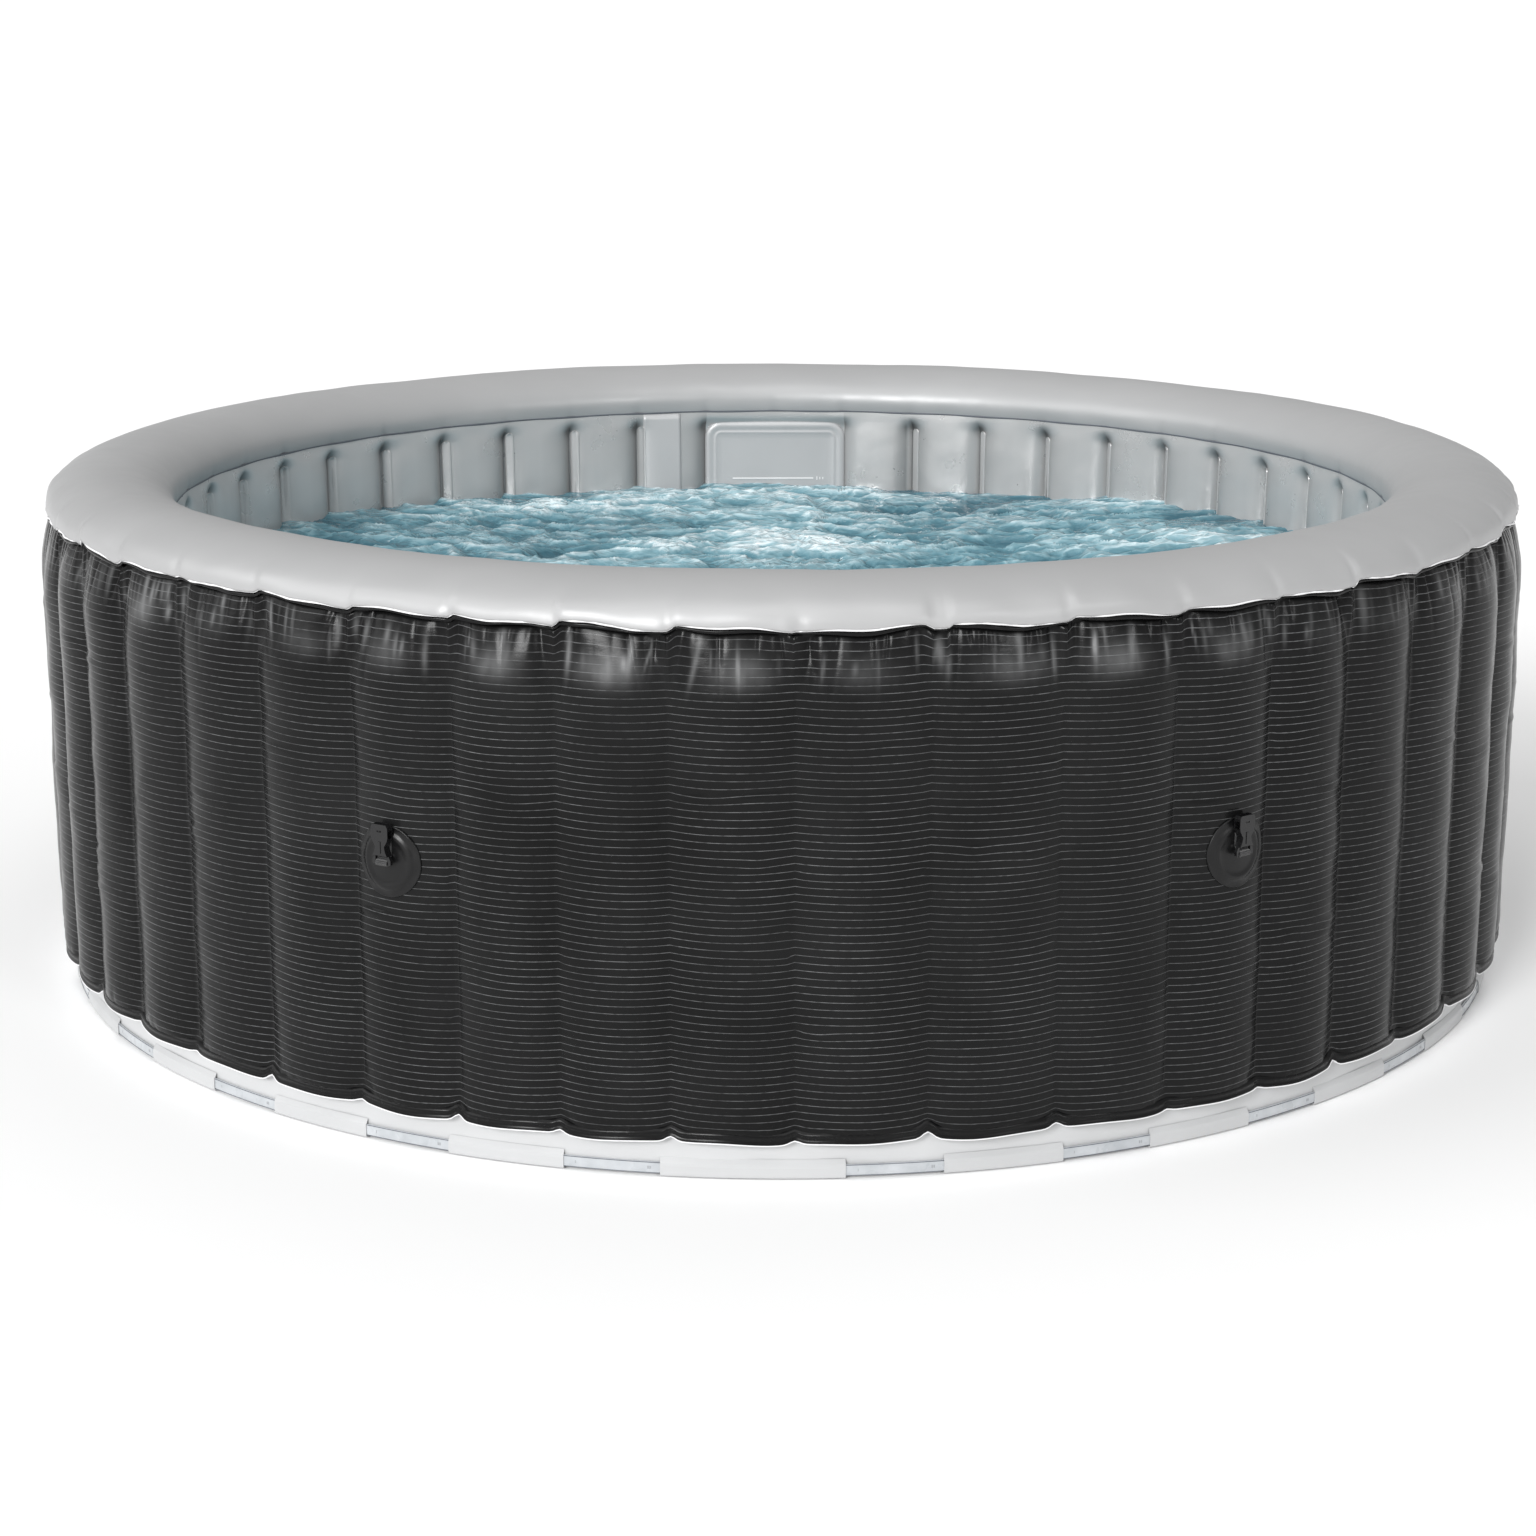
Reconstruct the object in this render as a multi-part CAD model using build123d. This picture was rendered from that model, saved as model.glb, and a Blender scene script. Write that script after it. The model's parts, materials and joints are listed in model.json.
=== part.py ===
from build123d import *

import os
from math import cos, pi, radians, sin, sqrt

# Inflatable round hot tub, 2.04 m across and 0.69 m high: the air-filled PVC vessel with its welds,
# tension webs, water and air ports, filter, valves, cover buckles and base light strip.
# Millimetres, +Z up. Origin on the ground at the middle of the round vessel; the port panel is at +Y.
# A "wall frame" has local x along the wall, local y up and local z straight out from the vessel.

os.makedirs("parts", exist_ok=True)

# ---- driving dimensions: vessel ----
HEIGHT = 693.0
OUTER_CREST_R = 1020.0
OUTER_SEAM_R = 1004.0
INNER_SEAM_R = 856.0
INNER_CREST_R = 838.0
CHAMBERS = 46
PITCH = 360.0 / CHAMBERS
PORT_SEAM = CHAMBERS // 2
SKIN = 1.2
GAP = 0.3

OUTER_RIM_Z = 641.0
INNER_RIM_Z = 626.0
BASE_WELD_Z = 50.0
RIM_MID_R = 930.0
RIM_OUTER_R = 1008.0
RIM_INNER_R = 851.0
RIM_BULGE_R = 840.0
RIM_BULGE_Z = 642.0
FLOOR_T = 1.5
FLOOR_R = 860.0
SKIRT_R = 998.0
SKIRT_FOOT_R = 6.0
WEB_LOW_Z = 62.0
WEB_HIGH_Z = 596.0
LAP_T = 0.8
LAP_START, LAP_END = 0.38, 0.93

# ---- driving dimensions: port panels and ports ----
PANEL_W = 226.0
PANEL_BOTTOM_Z = 92.0
PANEL_TOP_Z = 608.0
PANEL_T = 4.0
PANEL_CORNER_R = 28.0
OUTER_PANEL_W = 204.0
OUTER_PANEL_BOTTOM_Z = 80.0
OUTER_PANEL_TOP_Z = 420.0
PANEL_LAP = 13.0
BEAD_INSET = 7.0
BEAD_W = 6.0
BEAD_H = 3.0

INLET = (-56.0, 150.0)
OUTLET = (58.0, 150.0)
AIR_PORT = (0.0, 330.0)
SLEEVE_R = 24.0
SLEEVE_BORE_R = 20.0
SPIGOT_R = 22.5
FLANGE_R = 32.0
FLANGE_T = 4.0
GASKET_T = 2.0
NUT_R = 36.0
NUT_T = 10.0
NUT_NOTCHES = 8
THREAD_END_Y = 1012.0
SPIGOT_Y = 1034.0
GRILLE_R = 33.0
GRILLE_T = 6.0

AIR_R = 15.0
AIR_BORE_R = 12.0
AIR_SPIGOT_R = 14.0
AIR_FLANGE_R = 22.0
AIR_GASKET_R = 24.0
AIR_NUT_R = 25.0
AIR_SLEEVE_Y = 965.0
AIR_TAIL_Y = 953.0
AIR_TAIL_BORE_R = 9.5
AIR_STOP_T = 3.0
DUCT_Y = 920.0
DUCT_BEND_R = 32.0
BUBBLE_R = 20.0
BUBBLE_MAJOR_R = 765.0
BUBBLE_Z = FLOOR_T + BUBBLE_R
BUBBLE_WALL = 2.0
BUBBLE_HOLES = 23

# ---- driving dimensions: filter ----
FILTER_R = 52.0
FILTER_WALL = 3.0
FILTER_LENGTH = 96.0
FILTER_SLOTS = 12
FILTER_BASE_R = 46.0
CARTRIDGE_R = 44.0
CARTRIDGE_DISC_T = 4.0
PLEATS = 36

# ---- driving dimensions: air valve and drain ----
VALVE_CHAMBER = 20
VALVE_Z = 540.0
VALVE_BARREL_R = 17.0
VALVE_BARREL_LENGTH = 32.0
VALVE_COLLAR_R = 20.0
VALVE_COLLAR_H = 9.0
VALVE_FLANGE_R = 32.0
VALVE_FLANGE_H = 2.0
VALVE_THROAT_R = 9.0
VALVE_CAP_FOOT = GAP + VALVE_FLANGE_H + 1.0
VALVE_CAP_H = 12.0
VALVE_TETHER = 24.0
STEM_R = 3.0
CAP_WALL = 4.0
CAP_GRIPS = 16

DRAIN_CHAMBER = 31
DRAIN_Z = 27.0
DRAIN_R = 11.0
DRAIN_BORE_R = 9.0
DRAIN_COLLAR_R = 12.0
DRAIN_OUT = 16.0
DRAIN_REACH = SKIRT_R - INNER_CREST_R
DRAIN_CAP_FOOT = 5.2
DRAIN_CAP_H = 14.0
DRAIN_TETHER = 20.0

# ---- driving dimensions: cover buckles ----
# Each buckle sits on one chamber's bulge, turned by some degrees round the bulge from its crest.
BUCKLES = ((-4, -5.4), (3, 5.8), (11, 0.0), (19, 0.0), (26, 0.0), (34, 0.0))
BUCKLE_Z = 355.0
PATCH_R = 43.0
PATCH_RIM_R = 35.0
PATCH_RIM_W = 4.0
PLATE_TOP = 1.7
PATCH_RIM_TOP = 3.3
BAR_OUT = 9.2
BAR_R = 2.0
LOOP_T = 1.5
LOOP_W = 16.0
SOCKET_T = 10.0
SOCKET_TOP = 46.0
SOCKET_FOOT_W = 12.8
SOCKET_HEAD_W = 11.8
SOCKET_WAIST_W = 6.4

# ---- driving dimensions: base light strip ----
STRIP_LOW = 4.0
STRIP_HIGH = 18.0
STRIP_T = 3.0
STRIP_OFF = 0.8
SLEEVES = 24
SLEEVE_LOW = 1.4
SLEEVE_HIGH = 24.0
SLEEVE_T = 1.0
SLEEVE_ARC = 8.3
FRONT_SLEEVE_ARC = 12.2
FRONT_SLEEVE = -98.6
DRAIN_GAP = 1.9


def save(shape, name):
    export_step(shape, f"parts/{name}.step")


def group(shapes):
    solids = []
    for shape in shapes:
        solids.extend(shape.solids())
    return Compound(children=solids)


# ---- ring geometry ----
def seam_angle(k):
    """Angle of weld seam k. Seams are even at the port panel and drift a little towards the front."""
    even = -90 + k * PITCH
    if abs(k - PORT_SEAM) <= 1:
        return even
    front = (1 - sin(radians(even))) / 2
    drift = 2.0 + 1.4 * cos(radians(2 * even + 37)) + 0.75 * cos(radians(7 * even + 121))
    return even + front * drift


def chamber_angle(k):
    """Middle of the chamber between seams k and k + 1."""
    return (seam_angle(k) + seam_angle(k + 1)) / 2


def polar(r, angle, z=0.0):
    return Vector(r * cos(radians(angle)), r * sin(radians(angle)), z)


def flat_y(seam_r):
    """Distance of the flat double chamber at the port panel, for a skin whose seams are at seam_r."""
    return seam_r * cos(radians(PITCH))


def scallop_face(seam_r, crest_r):
    seams = [k for k in range(CHAMBERS) if k != PORT_SEAM]
    edges = []
    for i, k in enumerate(seams):
        start = seam_angle(k)
        end = seam_angle(seams[i + 1]) if i + 1 < len(seams) else seam_angle(0) + 360
        a, b = polar(seam_r, start), polar(seam_r, end)
        if end - start > 1.5 * PITCH:
            edges.append(Line(a, b))
        else:
            edges.append(ThreePointArc(a, polar(crest_r, (start + end) / 2), b))
    return Face(Wire(edges))


def scallop_ring(seam_r, crest_r, inward, low, high):
    """Vertical skin with one bulge per chamber, SKIN thick, its drawn side at seam_r and crest_r."""
    outer = scallop_face(seam_r + (0 if inward else SKIN), crest_r + (0 if inward else SKIN))
    inner = scallop_face(seam_r - (SKIN if inward else 0), crest_r - (SKIN if inward else 0))
    return Pos(0, 0, low) * extrude(outer - inner, high - low)


def revolved(*edges, arc=360.0, start=0.0):
    """Turns a closed outline in the XZ plane about Z."""
    face = Face(Wire(edges))
    return Rot(0, 0, start) * revolve(face, Axis.Z, revolution_arc=arc)


def at(r, z):
    return (r, 0, z)


def y_tube(x, z, r_out, r_in, y_low, y_high):
    """Tube along Y."""
    ring = Circle(r_out) - Circle(r_in) if r_in else Circle(r_out)
    plane = Plane(origin=(x, y_low, z), x_dir=(1, 0, 0), z_dir=(0, 1, 0))
    return plane * extrude(ring, y_high - y_low)


def facing(origin, angle):
    """Wall frame at a point of a wall that faces the given angle."""
    tangent = (-sin(radians(angle)), cos(radians(angle)), 0)
    out = (cos(radians(angle)), sin(radians(angle)), 0)
    return Plane(origin=origin, x_dir=tangent, z_dir=out)


def wall_frame(angle, z, r):
    """Wall frame on a round wall of radius r."""
    return facing(polar(r, angle, z), angle)


def bulge_radius(k):
    """Radius of the arc of outer chamber k, from its chord and its height over the chord."""
    half_chord = OUTER_SEAM_R * sin(radians((seam_angle(k + 1) - seam_angle(k)) / 2))
    rise = OUTER_CREST_R - sqrt(OUTER_SEAM_R**2 - half_chord**2)
    return (half_chord**2 + rise**2) / (2 * rise)


def bulge_frame(k, turn, z):
    """Wall frame on the bulge of outer chamber k, turned round the bulge's centre from its crest."""
    r = bulge_radius(k)
    centre = polar(OUTER_CREST_R - r, chamber_angle(k), z)
    angle = chamber_angle(k) + turn
    return facing(centre + polar(r, angle), angle)


def curved_disc(k, radius, low, high):
    """Disc in a bulge frame that follows the bulge, from low to high above it."""
    r = bulge_radius(k)
    depth = r
    slab = extrude(Circle(radius), depth, both=True)
    axis = Rot(90, 0, 0)
    shell = Cylinder(r + high, 3 * radius) - Cylinder(r + low, 3 * radius)
    return Pos(0, 0, -r) * (axis * shell) & (Pos(0, 0, depth / 2) * slab)


# ---- vessel skins ----
def panel_window(width, low, high, y):
    """Window in a skin behind a port panel, which laps over its edge by PANEL_LAP."""
    return rounded_plate(
        width - 2 * PANEL_LAP, low + PANEL_LAP, high - PANEL_LAP, 40, PANEL_CORNER_R - PANEL_LAP, y + 20
    )


def outer_wall():
    wall = scallop_ring(OUTER_SEAM_R, OUTER_CREST_R, True, BASE_WELD_Z + SKIN, OUTER_RIM_Z - SKIN)
    wall -= panel_window(OUTER_PANEL_W, OUTER_PANEL_BOTTOM_Z, OUTER_PANEL_TOP_Z, flat_y(OUTER_SEAM_R))
    barrel = Cylinder(VALVE_BARREL_R + GAP, 60)
    return wall - wall_frame(chamber_angle(VALVE_CHAMBER), VALVE_Z, OUTER_CREST_R) * barrel


def inner_wall():
    y = flat_y(INNER_SEAM_R)
    wall = scallop_ring(INNER_SEAM_R, INNER_CREST_R, False, FLOOR_T, INNER_RIM_Z - SKIN)
    wall -= panel_window(PANEL_W, PANEL_BOTTOM_Z, PANEL_TOP_Z, y)
    wall -= y_tube(AIR_PORT[0], BUBBLE_Z, AIR_R + GAP, 0, y - 20, y + 20)
    hole = Cylinder(DRAIN_R + GAP, 60)
    return wall - wall_frame(chamber_angle(DRAIN_CHAMBER), DRAIN_Z, INNER_CREST_R) * hole


def rim_outline(inset):
    """Outer quarter ellipse, inner quarter ellipse and the tuck back to the inner weld."""
    top, bulge_r, foot_r = HEIGHT - inset, RIM_BULGE_R + inset, RIM_INNER_R + inset
    outer_r = RIM_OUTER_R - inset
    outside = EllipticalCenterArc((RIM_MID_R, OUTER_RIM_Z), outer_r - RIM_MID_R, top - OUTER_RIM_Z)
    inside = EllipticalCenterArc((RIM_MID_R, RIM_BULGE_Z), RIM_MID_R - bulge_r, top - RIM_BULGE_Z, 90)
    drop = RIM_BULGE_Z - INNER_RIM_Z
    tuck = RadiusArc((bulge_r, RIM_BULGE_Z), (foot_r, INNER_RIM_Z), tuck_radius(foot_r - bulge_r, drop))
    upright = Rot(90, 0, 0)
    return [upright * outside, upright * inside, upright * tuck]


def tuck_radius(step, drop):
    """Radius of an arc that leaves straight down and has moved sideways by step after drop."""
    return (step**2 + drop**2) / (2 * step)


def top_rim():
    foot_out = Line(at(RIM_OUTER_R - SKIN, OUTER_RIM_Z), at(RIM_OUTER_R, OUTER_RIM_Z))
    foot_in = Line(at(RIM_INNER_R, INNER_RIM_Z), at(RIM_INNER_R + SKIN, INNER_RIM_Z))
    return revolved(foot_out, *rim_outline(0), foot_in, *rim_outline(SKIN))


def outer_weld(z):
    """Weld lip that follows the outer bulges and closes the chambers from below or above."""
    ring = scallop_face(OUTER_SEAM_R, OUTER_CREST_R) - Circle(SKIRT_R - 8)
    return Pos(0, 0, z) * extrude(ring, SKIN)


def inner_weld():
    ring = Circle(INNER_SEAM_R + SKIN) - scallop_face(INNER_SEAM_R, INNER_CREST_R)
    return Pos(0, 0, INNER_RIM_Z - SKIN) * extrude(ring, SKIN)


def skirt_outline(inset):
    """From the lower weld down the outside, round the foot and in along the ground."""
    r, foot = SKIRT_R - inset, SKIRT_FOOT_R - inset
    corner = (r - foot, inset + foot)
    middle = at(corner[0] + foot * cos(pi / 4), corner[1] - foot * sin(pi / 4))
    return [
        Line(at(r, BASE_WELD_Z), at(r, corner[1])),
        ThreePointArc(at(r, corner[1]), middle, at(corner[0], inset)),
        Line(at(corner[0], inset), at(FLOOR_R + GAP, inset)),
    ]


def base_skirt():
    top = Line(at(SKIRT_R - SKIN, BASE_WELD_Z), at(SKIRT_R, BASE_WELD_Z))
    inner_end = Line(at(FLOOR_R + GAP, 0), at(FLOOR_R + GAP, SKIN))
    skirt = revolved(top, *skirt_outline(0), inner_end, *skirt_outline(SKIN))
    hole = Cylinder(DRAIN_R + GAP, 60)
    return skirt - wall_frame(chamber_angle(DRAIN_CHAMBER), DRAIN_Z, SKIRT_R) * hole


def floor_sheet():
    return Pos(0, 0, FLOOR_T / 2) * Cylinder(FLOOR_R, FLOOR_T)


def chamber_webs():
    """Upright sheets that hold the inner and outer skins together at each seam."""
    inner, outer = INNER_SEAM_R + SKIN + GAP, OUTER_SEAM_R - SKIN - GAP
    middle = Pos((inner + outer) / 2, 0, (WEB_LOW_Z + WEB_HIGH_Z) / 2)
    sheet = middle * Box(outer - inner, SKIN, WEB_HIGH_Z - WEB_LOW_Z)
    sheets = []
    for k in range(CHAMBERS):
        if k != PORT_SEAM:
            sheets.append(Rot(0, 0, seam_angle(k)) * sheet)
    return group(sheets)


def liner_lap_strip():
    """Vertical lap where the two ends of the inner skin overlap."""
    start, end = seam_angle(PORT_SEAM + 1), seam_angle(PORT_SEAM + 2)
    middle = (start + end) / 2
    arcs = []
    for depth in (GAP, GAP + LAP_T):
        seam_r, crest_r = INNER_SEAM_R - depth, INNER_CREST_R - depth
        a, b = polar(seam_r, start), polar(seam_r, end)
        arcs.append(ThreePointArc(a, polar(crest_r, middle), b))
    ends = [Line(arcs[0] @ 0, arcs[1] @ 0), Line(arcs[0] @ 1, arcs[1] @ 1)]
    strip = Pos(0, 0, FLOOR_T + 1) * extrude(Face(Wire([*arcs, *ends])), INNER_RIM_Z - FLOOR_T - 4)
    lap_start, lap_end = start + LAP_START * PITCH, start + LAP_END * PITCH
    corners = [(0, 0), tuple(polar(1200, lap_start))[:2], tuple(polar(1200, lap_end))[:2]]
    return strip & extrude(Polygon(*corners, align=None), HEIGHT)


# ---- port panels and ports ----
def rounded_plate(width, low, high, thickness, corner, y, x=0.0):
    plane = Plane(origin=(x, y, (low + high) / 2), x_dir=(1, 0, 0), z_dir=(0, -1, 0))
    return plane * extrude(RectangleRounded(width, high - low, corner), thickness)


def plate_inside(inset, thickness, y):
    """Rounded plate that follows the inner panel's edge at an inset."""
    low, high = PANEL_BOTTOM_Z + inset, PANEL_TOP_Z - inset
    return rounded_plate(PANEL_W - 2 * inset, low, high, thickness, PANEL_CORNER_R - inset, y)


def inner_port_panel():
    y = flat_y(INNER_SEAM_R)
    panel = rounded_plate(PANEL_W, PANEL_BOTTOM_Z, PANEL_TOP_Z, PANEL_T, PANEL_CORNER_R, y)
    panel += plate_inside(BEAD_INSET, PANEL_T + BEAD_H, y) - plate_inside(BEAD_INSET + BEAD_W, 20, y)
    for x, z in (INLET, OUTLET):
        panel -= y_tube(x, z, SLEEVE_R + GAP, 0, y - 30, y + 30)
    return panel


def outer_port_panel():
    y = flat_y(OUTER_SEAM_R) + PANEL_T
    low, high = OUTER_PANEL_BOTTOM_Z, OUTER_PANEL_TOP_Z
    panel = rounded_plate(OUTER_PANEL_W, low, high, PANEL_T, PANEL_CORNER_R, y)
    for (x, z), r in ((INLET, SLEEVE_R), (OUTLET, SLEEVE_R), (AIR_PORT, AIR_R)):
        panel -= y_tube(x, z, r + GAP, 0, y - 30, y + 30)
    return panel


def port_sleeve(x, z):
    """Rigid tube through the whole wall: flange on the water side, threaded body and plain spigot."""
    flange_face = flat_y(INNER_SEAM_R) - PANEL_T - GASKET_T
    body = y_tube(x, z, SLEEVE_R, SLEEVE_BORE_R, flange_face - FLANGE_T, THREAD_END_Y)
    spigot = y_tube(x, z, SPIGOT_R, SLEEVE_BORE_R, THREAD_END_Y, SPIGOT_Y)
    return body + spigot + y_tube(x, z, FLANGE_R, SLEEVE_R - 1, flange_face - FLANGE_T, flange_face)


def port_gaskets(x, z):
    inside = flat_y(INNER_SEAM_R) - PANEL_T
    outside = flat_y(OUTER_SEAM_R) + PANEL_T
    return group(
        [
            y_tube(x, z, FLANGE_R, SLEEVE_R + GAP, inside - GASKET_T, inside),
            y_tube(x, z, FLANGE_R + 3, SLEEVE_R + GAP, outside, outside + GASKET_T),
        ]
    )


def locknut(x, z, bore_r, outer_r):
    """Ring nut with grip notches, on the outer panel."""
    y = flat_y(OUTER_SEAM_R) + PANEL_T + GASKET_T
    nut = y_tube(x, z, outer_r, bore_r + 0.1, y, y + NUT_T)
    for i in range(NUT_NOTCHES):
        angle = radians(i * 360 / NUT_NOTCHES)
        nut -= y_tube(x + outer_r * cos(angle), z + outer_r * sin(angle), 4, 0, y - 1, y + NUT_T + 1)
    return nut


def outlet_grille():
    """Cover with slots on the return port's flange."""
    x, z = OUTLET
    back = flat_y(INNER_SEAM_R) - PANEL_T - GASKET_T - FLANGE_T
    grille = y_tube(x, z, GRILLE_R, 0, back - GRILLE_T, back)
    for i in range(-3, 4):
        slot = Pos(x + i * 7, back - GRILLE_T / 2, z) * Box(3, 12, 2 * sqrt(28**2 - (i * 7) ** 2))
        grille -= slot
    return grille


def bubble_ring():
    """Air channel round the edge of the floor, in four lengths welded end to end, with holes on top."""
    section = Rot(90, 0, 0) * (Circle(BUBBLE_R) - Circle(BUBBLE_R - BUBBLE_WALL))
    length = revolve(Pos(BUBBLE_MAJOR_R, 0, 0) * section.face(), Axis.Z, revolution_arc=90)
    step = 90 / BUBBLE_HOLES
    for i in range(BUBBLE_HOLES):
        length -= Pos(polar(BUBBLE_MAJOR_R, (i + 0.5) * step, BUBBLE_R)) * Cylinder(1.5, 12)
    quarters = [Pos(0, 0, BUBBLE_Z) * (Rot(0, 0, 45 + 90 * i) * length) for i in range(4)]
    quarters[0] -= y_tube(AIR_PORT[0], BUBBLE_Z, AIR_R + 0.1, 0, BUBBLE_MAJOR_R + 5, BUBBLE_MAJOR_R + 40)
    return group(quarters)


def air_sleeve():
    """Short tube through the outer panel: tail for the duct, flange inside, thread and plain spigot."""
    x, z = AIR_PORT
    flange_face = flat_y(OUTER_SEAM_R)
    tail = y_tube(x, z, AIR_BORE_R - GAP, AIR_TAIL_BORE_R, AIR_TAIL_Y, AIR_SLEEVE_Y)
    stop = y_tube(x, z, AIR_R, AIR_TAIL_BORE_R, AIR_SLEEVE_Y, AIR_SLEEVE_Y + AIR_STOP_T)
    body = y_tube(x, z, AIR_R, AIR_BORE_R, AIR_SLEEVE_Y + AIR_STOP_T, THREAD_END_Y)
    spigot = y_tube(x, z, AIR_SPIGOT_R, AIR_BORE_R, THREAD_END_Y, SPIGOT_Y)
    flange = y_tube(x, z, AIR_FLANGE_R, AIR_R - 1, flange_face - FLANGE_T, flange_face)
    return tail + stop + body + spigot + flange


def air_gasket():
    y = flat_y(OUTER_SEAM_R) + PANEL_T
    return y_tube(*AIR_PORT, AIR_GASKET_R, AIR_R + GAP, y, y + GASKET_T)


def air_duct():
    """Air hose from the air sleeve's tail, down inside the wall and through to the bubble ring."""
    x, top_z = AIR_PORT
    corners = [
        (x, AIR_SLEEVE_Y - GAP, top_z),
        (x, DUCT_Y, top_z),
        (x, DUCT_Y, BUBBLE_Z),
        (x, BUBBLE_MAJOR_R + BUBBLE_R - 4, BUBBLE_Z),
    ]
    route = FilletPolyline(*corners, radius=DUCT_BEND_R)
    ring = Plane(origin=route @ 0, z_dir=route % 0) * (Circle(AIR_R) - Circle(AIR_BORE_R))
    return sweep(ring, path=route)


# ---- filter ----
def filter_y(step):
    """Y of a plane step millimetres into the pool from the inlet flange."""
    return flat_y(INNER_SEAM_R) - PANEL_T - GASKET_T - FLANGE_T - step


def filter_base():
    """Bayonet plate on the inlet flange: collar, and a stub for the cartridge."""
    x, z = INLET
    base = y_tube(x, z, FILTER_BASE_R, SLEEVE_BORE_R, filter_y(6), filter_y(0))
    return base + y_tube(x, z, SLEEVE_BORE_R + 3, SLEEVE_BORE_R, filter_y(16), filter_y(6))


def filter_housing():
    """Slotted basket that turns on the base."""
    x, z = INLET
    basket = y_tube(x, z, FILTER_R, FILTER_R - FILTER_WALL, filter_y(FILTER_LENGTH), filter_y(1))
    basket += y_tube(x, z, FILTER_R - 2, SLEEVE_BORE_R + 3.4, filter_y(9.5), filter_y(6.5))
    slot_y = (filter_y(14) + filter_y(FILTER_LENGTH - 10)) / 2
    slot = Pos(FILTER_R, slot_y, 0) * Box(12, FILTER_LENGTH - 24, 9)
    for i in range(FILTER_SLOTS):
        basket -= Pos(x, 0, z) * (Rot(0, i * 360 / FILTER_SLOTS, 0) * slot)
    return basket


def filter_cap():
    """End cap with a grip bar and the spigot that carries the cartridge."""
    x, z = INLET
    start = FILTER_LENGTH + 0.5
    cap = y_tube(x, z, FILTER_R, 0, filter_y(start + 5), filter_y(start))
    cap += y_tube(x, z, FILTER_R - 3.5, FILTER_R - 6, filter_y(start), filter_y(start - 6))
    grip = Pos(x, filter_y(start + 11), z) * Box(70, 14, 8)
    return cap + grip


def filter_cartridge():
    """Pleated element with a hard disc at each end."""
    x, z = INLET
    points = []
    for i in range(2 * PLEATS):
        r = CARTRIDGE_R - 2 if i % 2 == 0 else CARTRIDGE_R - 12
        points.append(tuple(polar(r, i * 180 / PLEATS))[:2])
    back, front = filter_y(18), filter_y(FILTER_LENGTH + 0.5)
    plane = Plane(origin=(x, front, z), x_dir=(1, 0, 0), z_dir=(0, 1, 0))
    element = plane * extrude(Polygon(*points, align=None) - Circle(SLEEVE_BORE_R), back - front)
    for low in (front, back - CARTRIDGE_DISC_T):
        element += y_tube(x, z, CARTRIDGE_R, SLEEVE_BORE_R, low, low + CARTRIDGE_DISC_T)
    return element


# ---- caps with a swivel ring, used by the air valve and the drain ----
def upright_cylinder(radius, height, foot=0.0):
    return Pos(0, 0, foot + height / 2) * Cylinder(radius, height)


def screw_cap(collar_r, height):
    """Cap in a wall frame, its mouth at z 0 and its top at z height. The ring's groove is near its mouth."""
    outer_r = collar_r + CAP_WALL
    cap = upright_cylinder(outer_r, height)
    cap -= upright_cylinder(collar_r + 0.4, height - 1.5, -1)
    cap -= upright_cylinder(outer_r + 1, 3, 1) - upright_cylinder(outer_r - 1.5, 3, 1)
    for i in range(CAP_GRIPS):
        cap -= Rot(0, 0, i * 360 / CAP_GRIPS) * (Pos(outer_r, 0, 0) * upright_cylinder(1.4, height, 5.2))
    return cap


def cap_ring(collar_r):
    """Swivel ring that sits in the cap's groove."""
    outer_r = collar_r + CAP_WALL
    ring = Circle(outer_r + 3) - Circle(outer_r - 1.2)
    return Pos(0, 0, 1.4) * extrude(ring, 2.2)


def cap_tether(collar_r, length, foot_z):
    """Flat strap from beside the swivel ring to a button on the wall, foot_z below the cap's mouth."""
    top = -(collar_r + CAP_WALL + 3.4)
    strap = Pos(0, top - length / 2, 2.5) * Box(7, length, 1.6)
    button = Pos(0, top - length, 0) * upright_cylinder(5, foot_z + 3.5 - GAP, GAP - foot_z)
    return strap + button


# ---- air valve ----
def valve_body():
    """Barrel through the outer skin, with a welded flange outside and a bridge that guides the stem."""
    flange = curved_disc(VALVE_CHAMBER, VALVE_FLANGE_R, GAP, GAP + VALVE_FLANGE_H)
    flange -= Cylinder(VALVE_BARREL_R - 1, 200)
    foot = GAP + VALVE_FLANGE_H
    collar = upright_cylinder(VALVE_COLLAR_R, VALVE_COLLAR_H, foot)
    barrel_foot = foot + VALVE_COLLAR_H - VALVE_BARREL_LENGTH
    barrel = upright_cylinder(VALVE_BARREL_R, VALVE_BARREL_LENGTH, barrel_foot)
    body = barrel + collar + flange
    bore = Cylinder(VALVE_BARREL_R - 3, 60)
    seat = Pos(0, 0, -8) * (Cylinder(VALVE_BARREL_R - 2, 3) - Cylinder(VALVE_THROAT_R, 4))
    bridge = Pos(0, 0, -0.5) * (Box(2 * VALVE_BARREL_R - 4, 6, 3) - Cylinder(STEM_R + 0.1, 6))
    return (body - bore) + seat + bridge


def valve_stem():
    """Pin with the sealing disc under the seat and a push button on top."""
    pin = Pos(0, 0, -1) * Cylinder(STEM_R, 21)
    disc = Pos(0, 0, -11) * Cylinder(12.5, 2.4)
    button = Pos(0, 0, 9.0) * Cylinder(5.5, 1.8)
    return pin + disc + button


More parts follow.
